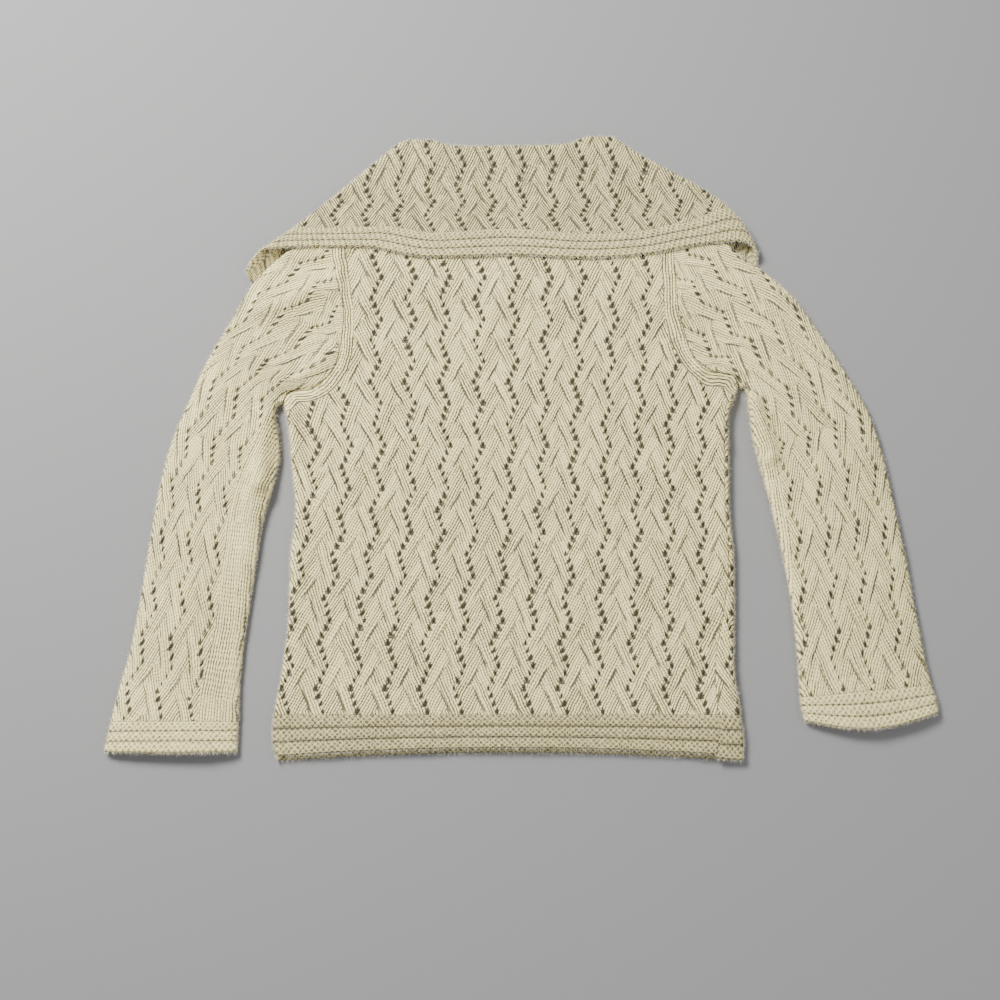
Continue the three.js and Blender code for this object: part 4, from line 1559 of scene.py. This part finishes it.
class BodyPanel:
    """One lace panel of the body or one garter hem."""

    END_STEPS = 12
    END_CROWDING = 1.6
    END_LAST = 0.985
    END_FLAT = 3.0
    WRAP_FULL = 4.0

    def __init__(self, rows: Sequence[object], shape: PanelShape) -> None:
        """Reads the panel's rows.

        Args:
            rows: Body or hem rows.
            shape: Which panel.
        """
        self.heights = [(row.ly + row.ry) / 2 for row in rows]
        self.table = Table(rows, self.heights)
        self.shape = shape
        self.is_hem = "rise" in self.table.columns

    def seam_distance(self, side: Side, y: np.ndarray) -> np.ndarray:
        """Where a side seam lies on the cloth.

        Args:
            side: Which side of the body.
            y: Row heights.
        Returns:
            Distance along the cloth from where it stops being flat to the seam.
        """
        half_turn = math.pi * CLOTH.fold
        wrap = self.table.read("wrap", y) if side is Side.RIGHT else np.zeros_like(y)
        wrapped = half_turn + wrap - CLOTH.reach
        front_part = mix(half_turn / 2, wrapped, smoothstep(0, self.WRAP_FULL, wrap))
        folded = front_part if self.shape.layer is Layer.LOWER else half_turn - front_part
        fold = np.ones_like(y) if self.is_hem else self.table.read("fold", y)
        return mix(CLOTH.reach, folded, fold) - CLOTH.seam / 2

    def row_height(self, x: np.ndarray, y: np.ndarray) -> np.ndarray:
        """How high a row runs.

        Args:
            x: Across the pattern, (rows, columns).
            y: Row heights, (rows, 1).
        Returns:
            Height of the row at x, with the neckline's dip or the hem's arch.
        """
        read = self.table.read
        lx, rx = read("lx", y), read("rx", y)
        share = (x - lx) / (rx - lx)
        spread = np.clip(1 - (2 * share - 1) ** 2, 0, 1)
        at = mix(read("ly", y), read("ry", y), share)
        if self.is_hem:
            peep = FRONT_PEEP if self.shape.layer is Layer.LOWER else 0
            return at + (HEM_RISE * spread - peep) * read("rise", y)
        if self.shape.layer is Layer.UPPER:
            return at - BACK_DIP * read("back", y) * spread
        return at - FRONT_DIP * read("front", y) * spread

    def lay(self, y: np.ndarray, step: float) -> tuple[np.ndarray, np.ndarray, np.ndarray]:
        """Lays out the panel.

        Args:
            y: Row heights, from the first row of the table to the last.
            step: Longest step across the flat cloth.
        Returns:
            The points, the facings, and the distance across the cloth as if it were unrolled.
        """
        y = y[:, None]
        ends = {}
        for side in (self.shape.start, self.shape.end):
            if side is not None:
                outer = self.table.read("lx" if side is Side.LEFT else "rx", y)
                seam = self.seam_distance(side, y)
                ends[side] = (outer - side.value * CLOTH.reach, seam, np.minimum(0, seam - self.END_FLAT))

        def flat_edge(side: Side | None, centre: float) -> np.ndarray:
            """Where the flat part of the cloth ends.

            Args:
                side: A side, or None for the centre front.
                centre: Where the centre front's edge is.
            Returns:
                Where the evenly divided cloth stops.
            """
            if side is None:
                return np.full_like(y, centre)
            return ends[side][0] + side.value * ends[side][2]

        left = flat_edge(self.shape.start, CLOTH.seam)
        right = flat_edge(self.shape.end, -CLOTH.seam)
        width = float((right - left).max())
        x = left + (right - left) * (stations(width, step)[None, :] / width)
        points, facing = self.flat(x, y)
        strips = [(points, facing, x)]
        share = np.arange(1, self.END_STEPS) / self.END_STEPS
        shares = np.append(share**self.END_CROWDING, [self.END_LAST, 1.0])[None, :]
        for side, (flat_end, seam, start) in ends.items():
            distance = start + (seam - start) * shares
            if side is Side.LEFT:
                strips.insert(0, self.end(side, flat_end, distance[:, ::-1], y))
            else:
                strips.append(self.end(side, flat_end, distance, y))
        points, facing, across = (np.concatenate(parts, 1) for parts in zip(*strips))
        return points, unit(facing), across

    def flat(self, x: np.ndarray, y: np.ndarray) -> tuple[np.ndarray, np.ndarray]:
        """Lays the flat part of the cloth.

        Args:
            x: Across the pattern.
            y: Row heights.
        Returns:
            Points of the flat cloth and the way it looks.
        """
        at = self.row_height(x, y)
        looks = np.zeros((*x.shape, 3))
        looks[..., 2] = 1 if self.shape.layer is Layer.UPPER else -1
        return np.stack((x, at, layer_height(self.shape.layer, x, at)), axis=-1), looks

    def end(
        self, side: Side, flat_end: np.ndarray, distance: np.ndarray, y: np.ndarray
    ) -> tuple[np.ndarray, np.ndarray, np.ndarray]:
        """Lays the cloth up to a seam, round the side fold where the row has one.

        Args:
            side: Which side.
            flat_end: Where the cloth stops being flat.
            distance: Distance along the cloth past there.
            y: Row heights.
        Returns:
            The points, the facings, and the distance across as if the cloth were unrolled.
        """
        up = 1 if self.shape.layer is Layer.UPPER else -1
        other = Layer.UPPER if self.shape.layer is Layer.LOWER else Layer.LOWER
        unrolled = flat_end + side.value * distance
        flat, looks = self.flat(unrolled, y)
        angle = np.clip(distance / CLOTH.fold, 0, math.pi)
        past = np.maximum(distance - math.pi * CLOTH.fold, 0)
        x = flat_end + side.value * (CLOTH.fold * np.sin(angle) - past + np.minimum(distance, 0))
        at = self.row_height(x, y)
        near, far = layer_height(self.shape.layer, x, at), layer_height(other, x, at)
        z = mix(near, far, (1 - np.cos(angle)) / 2)
        turned = np.stack((side.value * np.sin(angle), np.zeros_like(x), up * np.cos(angle)), -1)
        fold = np.ones_like(y) if self.is_hem else self.table.read("fold", y)
        points = mix(flat, np.stack((x, at, z), -1), fold[..., None])
        return points, mix(looks, turned, fold[..., None]), unrolled


def armhole_line(side: Side, count: int = 60) -> np.ndarray:
    """The seam of an armhole.

    Args:
        side: Which armhole.
        count: Number of points.
    Returns:
        Points of the armhole from the shoulder tip to the underarm.
    """
    rows = BODY[UNDERARM_ROW : SHOULDER_ROW + 1]
    table = Table(rows, range(len(rows)))
    place = np.linspace(len(rows) - 1, 0, count)
    names = ("lx", "ly") if side is Side.LEFT else ("rx", "ry")
    return np.stack([table.read(name, place) for name in names], axis=-1)


class LacePanel(ClothPiece):
    """The back or a front: lace, with ribs that follow the seams beside the armholes."""

    STEP = 3.2
    SIDE_TOP = 355.0
    SIDE_FADE = 30.0

    def make(self, shape: PanelShape, finishes: Finishes) -> bpy.types.Object:
        """Makes the panel.

        Args:
            shape: Which panel.
            finishes: The garment's finishes.
        Returns:
            The finished object.
        """
        panel = BodyPanel(BODY, shape)
        rows = panel.heights[0] + stations(panel.heights[-1] - panel.heights[0], self.STEP)
        points, facing, across = panel.lay(rows, self.STEP)
        height = points[..., 1]
        knit = lace_map(BACK_LACE, across, height)
        beside = np.full(height.shape, FAR)
        for side in (shape.start, shape.end):
            if side is not None:
                away, _ = distance_to(armhole_line(side), points[..., 0], height, endless=False)
                beside = np.minimum(beside, away / STITCH)
        edge = np.stack((beside, np.zeros_like(beside)), axis=-1)
        folded = smoothstep(self.SIDE_TOP, self.SIDE_TOP - self.SIDE_FADE, rows)
        sheet = Sheet(points, facing, knit, edge, folded=folded)
        return self.build(sheet, finishes.lace, finishes.reverse, finishes.fibre)


FURROW = 0.46
WELT_ROUND = 0.6


def welt_swell(welts: np.ndarray) -> np.ndarray:
    """Share of the cloth's thickness: rounded welts with narrow furrows."""
    furrowed = mix(FURROW, 1, np.abs(np.sin(np.pi * welts)) ** WELT_ROUND)
    return np.where((welts > 0.5) & (welts < welts.max() - 0.5), furrowed, 1.0)


class GarterPiece(ClothPiece):
    """A piece in garter stitch, in three welts."""

    ROW_STEP = 1.9
    WELTS = 3

    def knit_up(
        self,
        laid: tuple[np.ndarray, np.ndarray],
        across: np.ndarray,
        along: np.ndarray,
        depth: float | np.ndarray,
        free: set[str],
        finish: bpy.types.Material,
        fibre: bpy.types.Material,
        closed: bool = False,
    ) -> bpy.types.Object:
        """Makes the piece once it is laid out.

        Args:
            laid: Points and facings.
            across: Distance across, in millimetres.
            along: Distance along, over the welts.
            depth: Where along ends.
            free: The ends that are free edges.
            finish: The finish of both sides.
            fibre: The finish of the loose fibres.
            closed: Whether it is a tube.
        Returns:
            The finished object.
        """
        knit = np.stack((np.broadcast_to(across / STITCH, along.shape), along / GARTER_ROW), axis=-1)
        welts = along / depth * self.WELTS
        edge = np.stack((welts, np.zeros_like(welts)), axis=-1)
        sheet = Sheet(*laid, knit, edge, closed, welt_swell(welts), frozenset(free))
        return self.build(sheet, finish, finish, fibre)


class GarterHem(GarterPiece):
    """A garter hem of the back or of a front."""

    STEP = 4.0

    def make(self, shape: PanelShape, finishes: Finishes) -> bpy.types.Object:
        """Makes the hem.

        Args:
            shape: Which panel.
            finishes: The garment's finishes.
        Returns:
            The finished object.
        """
        panel = BodyPanel(HEM, shape)
        depth = panel.heights[-1] - panel.heights[0]
        rows = panel.heights[0] + stations(depth, self.ROW_STEP)
        points, facing, across = panel.lay(rows, self.STEP)
        along = np.broadcast_to(rows[:, None] - panel.heights[0], across.shape)
        laid = (points, facing)
        return self.knit_up(laid, across, along, depth, {"first_row"}, finishes.hem, finishes.fibre)


# ------------------------------------------------------------------------------ sleeves
class SleeveTube:
    """The form of a sleeve or of a cuff: a flattened tube between an outer and an inner fold."""

    CROWN = 4.6
    CROWN_SHAPE = 0.5
    CROWN_LENGTH = 130.0
    INSET_LENGTH = 25.0
    FOLD_STEPS = 8

    def __init__(self, rows: Sequence[SleeveRow], side: Side, is_cuff: bool) -> None:
        """Reads the tube's sections.

        Args:
            rows: Its sections.
            side: Which arm.
            is_cuff: Whether it is the cuff, which starts with the sleeve's full arch.
        """
        self.knots = run(np.array([(row.ox, row.oy) for row in rows]))
        self.table = Table(rows, self.knots)
        self.side = side
        self.grown = ENDLESS if is_cuff else 0.0
        line = armhole_line(side)
        along = run(line)
        self.shares = along / along[-1]
        self.curve = line - mix(line[0], line[-1], self.shares[:, None])

    @property
    def length(self) -> float:
        """Length along the outer edge."""
        return float(self.knots[-1])

    def lay(self, lengths: np.ndarray, step: float) -> tuple[np.ndarray, np.ndarray, np.ndarray]:
        """Lays out the tube, each ring from the inner fold over the top to the outer fold and back.

        Args:
            lengths: Distances from the armhole along the outer edge.
            step: Longest step across.
        Returns:
            The points, the facings, and 1 for the upper half and -1 for the lower half.
        """
        s = lengths[:, None]
        outer = np.stack([self.table.read(name, s) for name in ("ox", "oy")], axis=-1)
        inner = np.stack([self.table.read(name, s) for name in ("ix", "iy")], axis=-1)
        line = unit(inner - outer)
        grown = s + self.grown
        inset = (CLOTH.reach * np.minimum(1, grown / self.INSET_LENGTH))[..., None]
        start, end = outer + line * inset, inner - line * inset
        width = float(np.linalg.norm(end - start, axis=-1).max())
        t = (stations(width, step) / width)[None, ::-1]
        arch = np.sin(np.pi * t)
        fade = 1 - t**4 * np.minimum(1, grown / self.INSET_LENGTH)
        keep = self.table.read("curve", s) * fade
        curve = [np.interp(t, self.shares, self.curve[:, k]) for k in (0, 1)]
        plan = mix(start, end, t[..., None])
        x = plan[..., 0] + curve[0] * keep + self.side.value * CLOTH.seam * arch
        y = plan[..., 1] + curve[1] * keep - self.table.read("bow", s) * arch
        crown = self.CROWN * np.minimum(1, grown / self.CROWN_LENGTH) * arch**self.CROWN_SHAPE
        top = np.stack((x, y, layer_height(Layer.UPPER, x, y) + crown), axis=-1)
        bottom = np.stack((x, y, layer_height(Layer.LOWER, x, y) + 0 * x), axis=-1)
        looks_up = np.zeros_like(top)
        looks_up[..., 2] = 1
        quarter = np.linspace(0, math.pi / 2, self.FOLD_STEPS // 2 + 1)
        rise = self.turn(top[:, :1], bottom[:, :1], line, (math.pi / 2 - quarter)[:-1])
        round_fold = np.linspace(0, math.pi, self.FOLD_STEPS + 1)[1:-1]
        over = self.turn(top[:, -1:], bottom[:, -1:], -line, round_fold)
        under = self.turn(top[:, :1], bottom[:, :1], line, (math.pi - quarter)[1:])
        parts = [
            (*rise, 1),
            (top, looks_up, 1),
            (*over, 0),
            (bottom[:, ::-1], -looks_up, -1),
            (*under, -1),
        ]
        halves = [np.full(part[0].shape[:2], float(part[2])) for part in parts]
        half = self.FOLD_STEPS // 2 - 1
        halves[2][:, :half], halves[2][:, half + 1 :] = 1, -1
        points, facing = (np.concatenate([part[k] for part in parts], 1) for k in (0, 1))
        return points, unit(facing), np.concatenate(halves, 1)

    @staticmethod
    def turn(
        top: np.ndarray, bottom: np.ndarray, out: np.ndarray, angles: np.ndarray
    ) -> tuple[np.ndarray, np.ndarray]:
        """Lays the cloth round a fold.

        Args:
            top: End of the upper cloth, (rows, 1, 3).
            bottom: End of the lower cloth.
            out: Direction outwards in the plan, (rows, 1, 2).
            angles: Angles of the fold, 0 at the top.
        Returns:
            Points and facings round the fold.
        """
        sine, cosine = np.sin(angles)[None, :, None], np.cos(angles)[None, :, None]
        middle, half = (top + bottom) / 2, (top - bottom)[..., 2:] / 2
        facing = np.concatenate((out * sine, cosine + 0 * out[..., :1]), axis=-1)
        reach = np.concatenate((out * sine * CLOTH.fold, cosine * half), axis=-1)
        return middle + reach, facing


class Sleeve(ClothPiece):
    """A lace sleeve. Its columns run along the outer edge."""

    STEP = 3.4
    LINE_POINTS = 80

    def make(self, side: Side, finishes: Finishes) -> bpy.types.Object:
        """Makes the sleeve.

        Args:
            side: Which arm.
            finishes: The garment's finishes.
        Returns:
            The finished object.
        """
        tube = SleeveTube(SLEEVES[side], side, is_cuff=False)
        points, facing, half = tube.lay(stations(tube.length, self.STEP), self.STEP)
        lengths = np.linspace(0, tube.length, self.LINE_POINTS)
        outer = np.stack([tube.table.read(name, lengths) for name in ("ox", "oy")], axis=-1)
        away, along = distance_to(outer, points[..., 0], points[..., 1], endless=True)
        knit = lace_map(SLEEVE_LACE[side], away * half, along)
        plain = (knit[..., 0] > PLAIN_PAST) & (along > PLAIN_FROM)
        edge = np.stack((np.full(away.shape, FAR), plain * 1.0), axis=-1)
        sheet = Sheet(points, facing, knit, edge, closed=True)
        return self.build(sheet, finishes.sleeve, finishes.reverse, finishes.fibre)


class Cuff(GarterPiece):
    """A garter cuff."""

    STEP = 3.4

    def make(self, side: Side, finishes: Finishes) -> bpy.types.Object:
        """Makes the cuff.

        Args:
            side: Which arm.
            finishes: The garment's finishes.
        Returns:
            The finished object.
        """
        tube = SleeveTube(CUFFS[side], side, is_cuff=True)
        lengths = stations(tube.length, self.ROW_STEP)
        points, facing, half = tube.lay(lengths, self.STEP)
        round_it = run(points, axis=1).mean(axis=0, keepdims=True)
        along = np.broadcast_to(lengths[:, None], half.shape)
        laid, finish, free = (points, facing), finishes.garter, {"last_row"}
        return self.knit_up(laid, round_it, along, tube.length, free, finish, finishes.fibre, closed=True)


# ------------------------------------------------------------------------------ the collar
class CollarForm:
    """The form of the collar and its border: lines from the neckline over the roll to the edge."""

    SPOKES = 14
    STAND = 5
    ROLL = 9
    FALL = 36
    BORDER = 18
    NECK_SEAM = 1.0
    NECK_CORNER = 1.7
    UPRIGHT = 3.0
    BOW_SKEW = 1.5
    CURL = 1.4
    CURL_FROM = 0.55
    NECK_SHARES = (0, 0.35, 1)
    FALL_LENGTH = 100.0
    BORDER_DEPTH = 28.0

    def __init__(self) -> None:
        """Reads the collar's table."""
        self.table = Table(COLLAR, range(len(COLLAR)))
        self.places = np.linspace(0, len(COLLAR) - 1, (len(COLLAR) - 1) * self.SPOKES + 1)

    def lay(self) -> tuple[np.ndarray, int, np.ndarray]:
        """Lays out the collar with its border.

        Returns:
            The points in rows from the neckline to the edge, the number of rows of the collar, and
            the distance that each point is from the end of the roll along its line.
        """
        read = {name: self.table.read(name, self.places) for name in self.table.columns}
        swing = np.pi * read["turn"]
        side = np.sign(read["neck"])
        zero = np.zeros_like(swing)
        out = np.stack((side * np.sin(swing), zero, -np.cos(swing)), axis=-1)
        dip = mix(FRONT_DIP, BACK_DIP, read["turn"]) * (1 - (read["neck"] / NECK_HALF) ** 2)
        stand = CLOTH.wall / 2 + CLOTH.pitch * mix(1, 2, read["turn"])
        fall = CLOTH.wall / 2 + CLOTH.pitch * mix(0, 3, read["turn"])
        seam = self.NECK_SEAM + self.NECK_CORNER * np.sin(swing)
        neck = np.stack((read["neck"], NECK_Y - dip + seam, stand), axis=-1)
        middle = np.stack((read["fx"], read["fy"] - CLOTH.reach, (stand + fall) / 2), axis=-1)
        up = np.array([0.0, 1.0, 0.0])
        upright = neck + up * self.UPRIGHT
        roll = [
            middle + CLOTH.fold * (up * math.sin(angle) - out * math.cos(angle))
            for angle in np.linspace(0, math.pi, self.ROLL)
        ]
        edge = np.stack((read["ex"], read["ey"], fall), axis=-1)
        length = np.linalg.norm(edge - roll[-1], axis=-1)
        bow = np.stack((read["bowx"], read["bowy"], zero), axis=-1)

        def fall_point(t: np.ndarray) -> np.ndarray:
            """A line of points over the fall.

            Args:
                t: Share of the fall, for each line.
            Returns:
                Points of the fall.
            """
            curl = np.outer(self.CURL * smoothstep(self.CURL_FROM, 1.0, t) * read["turn"], (0.0, 0.0, 1.0))
            swept = bow * np.sin(np.pi * t**self.BOW_SKEW)[:, None]
            return mix(roll[-1], edge, t[:, None]) + swept + curl

        collar_end = 1 - read["border"] / length
        border_start = 1 - (read["border"] - CLOTH.seam) / length
        fall_shares = stations(self.FALL_LENGTH, self.FALL_LENGTH / self.FALL) / self.FALL_LENGTH
        border_shares = stations(self.BORDER_DEPTH, self.BORDER_DEPTH / self.BORDER) / self.BORDER_DEPTH
        lines = [mix(neck, upright, t) for t in self.NECK_SHARES]
        lines += [mix(upright, roll[0], t) for t in np.arange(1, self.STAND) / self.STAND]
        lines += roll
        roll_row = len(lines) - 1
        lines += [fall_point(t * collar_end) for t in fall_shares[1:]]
        collar_rows = len(lines)
        lines += [fall_point(mix(border_start, 1, t)) for t in border_shares]
        points = np.stack(lines)
        along = run(points)
        return points, collar_rows, along - along[roll_row]


class Collar(ClothPiece):
    """The lace collar, folded over all round the neck."""

    def make(self, form: CollarForm, finishes: Finishes) -> bpy.types.Object:
        """Makes the collar.

        Args:
            form: The form of the collar and border.
            finishes: The garment's finishes.
        Returns:
            The finished object.
        """
        points, rows, along = form.lay()
        facing = found_facing(points, (rows // 2, points.shape[1] // 2))
        x, y = points[..., 0], points[..., 1]
        roll_y = y[np.abs(along).argmin(axis=0), np.arange(y.shape[1])][None, :]
        height = np.where(along < 0, roll_y - along, y)
        knit = lace_map(COLLAR_LACE, x, height)
        edge = np.stack((np.full(x.shape, FAR), np.zeros_like(x)), axis=-1)
        sheet = Sheet(points[:rows], facing[:rows], knit[:rows], edge[:rows])
        return self.build(sheet, finishes.collar, finishes.reverse, finishes.fibre)


class CollarBorder(GarterPiece):
    """The garter border of the collar."""

    def make(self, form: CollarForm, finishes: Finishes) -> bpy.types.Object:
        """Makes the border.

        Args:
            form: The form of the collar and border.
            finishes: The garment's finishes.
        Returns:
            The finished object.
        """
        points, rows, _ = form.lay()
        facing = found_facing(points, (rows // 2, points.shape[1] // 2))[rows:]
        points = points[rows:]
        length, depth = run(points[len(points) // 2]), run(points)
        laid, free = (points, facing), {"last_row", "first_column", "last_column"}
        return self.knit_up(laid, length, depth, depth[-1:], free, finishes.border, finishes.fibre)


# ------------------------------------------------------------------------------ the stage
@dataclass(frozen=True)
class Lamp:
    """A large soft lamp."""

    name: str
    place: tuple[float, float, float]
    size: float
    power: float
    colour: tuple[float, float, float] = (1.0, 1.0, 1.0)

    def hang(self) -> None:
        """Hangs the lamp, turned to the middle of the garment."""
        light = bpy.data.lights.new(self.name, "AREA")
        light.shape = "DISK"
        light.size = self.size
        light.energy = self.power
        light.color = self.colour
        lamp = bpy.data.objects.new(self.name, light)
        lamp.location = self.place
        lamp.rotation_euler = (-Vector(self.place)).to_track_quat("-Z", "Y").to_euler()
        bpy.context.scene.collection.objects.link(lamp)


@dataclass(frozen=True)
class Stage:
    """The pale floor, the soft light and the camera."""

    floor_colour: tuple[float, float, float, float] = (0.215, 0.215, 0.216, 1)
    floor_size: float = 20.0
    floor_roughness: float = 0.9
    grain_scale: float = 420.0
    grain_strength: float = 0.2
    grain_relief: float = 0.4 * MM
    air: tuple[float, float, float, float] = (0.95, 0.97, 1.0, 1)
    air_strength: float = 0.55
    camera_place: tuple[float, float, float] = (-0.0215, -0.3765, 1.4672)
    camera_tilt: float = 12.0
    lens: float = 54.0
    lamps: tuple[Lamp, ...] = (
        Lamp("window", (-1.15, 1.2, 1.5), 0.8, 136.0, (1.0, 0.985, 0.96)),
        Lamp("fill", (1.4, -0.6, 1.8), 1.6, 14.0),
    )

    def build(self) -> None:
        """Sets up the floor, the lamps, the air's own light and the camera."""
        bpy.ops.mesh.primitive_plane_add(size=self.floor_size)
        floor = bpy.context.active_object
        floor.name = "floor"
        material = bpy.data.materials.new("floor")
        nodes = NodeTree(material)
        grain = nodes.add("ShaderNodeTexNoise", {}, Scale=self.grain_scale, Detail=2.0)
        bump = nodes.add(
            "ShaderNodeBump",
            {},
            Strength=self.grain_strength,
            Distance=self.grain_relief,
            Height=grain.outputs[0],
        )
        shader = nodes.add(
            "ShaderNodeBsdfPrincipled",
            {},
            Base_Color=self.floor_colour,
            Roughness=self.floor_roughness,
            Normal=bump.outputs[0],
        )
        nodes.add("ShaderNodeOutputMaterial", {}, Surface=shader.outputs[0])
        floor.data.materials.append(material)
        world = bpy.data.worlds.new("air")
        world.use_nodes = True
        background = world.node_tree.nodes["Background"]
        background.inputs[0].default_value = self.air
        background.inputs[1].default_value = self.air_strength
        bpy.context.scene.world = world
        for lamp in self.lamps:
            lamp.hang()
        camera = bpy.data.objects.new("camera", bpy.data.cameras.new("camera"))
        camera.data.lens = self.lens
        camera.location = self.camera_place
        camera.rotation_euler = (math.radians(self.camera_tilt), 0, 0)
        bpy.context.scene.collection.objects.link(camera)
        bpy.context.scene.camera = camera


def main() -> None:
    """Builds the garment piece by piece, then its stage."""
    logging.basicConfig(level=logging.INFO, format="%(name)s: %(message)s")
    finishes = Finishes.build()
    placement = Placement()
    floor, lace, garter = ["floor"], "lace_knit", "garter_knit"
    fronts = (("front_left", FRONT_LEFT), ("front_right", FRONT_RIGHT))
    for name, shape in fronts:
        LacePanel(name, lace, CUTS["front"], floor, placement).make(shape, finishes)
    below = [f"{name}_knit" for name, _ in fronts]
    LacePanel("back", lace, CUTS["back"], below, placement).make(BACK, finishes)
    for name, shape in fronts:
        GarterHem(f"hem_{name}", garter, CUTS[f"hem_{name}"], floor, placement).make(shape, finishes)
    below = [f"hem_{name}_knit" for name, _ in fronts]
    GarterHem("hem_back", garter, CUTS["hem_back"], below, placement).make(BACK, finishes)
    for side in Side:
        arm = side.name.lower()
        Sleeve(f"sleeve_{arm}", lace, CUTS[f"sleeve_{arm}"], floor, placement).make(side, finishes)
        Cuff(f"cuff_{arm}", garter, CUTS["cuff"], floor, placement).make(side, finishes)
    form = CollarForm()
    Collar("collar", lace, CUTS["collar"], ["back_knit"], placement).make(form, finishes)
    CollarBorder("collar_border", garter, CUTS["collar_border"], ["back_knit"], placement).make(
        form, finishes
    )
    Stage().build()


if __name__ == "__main__":
    main()
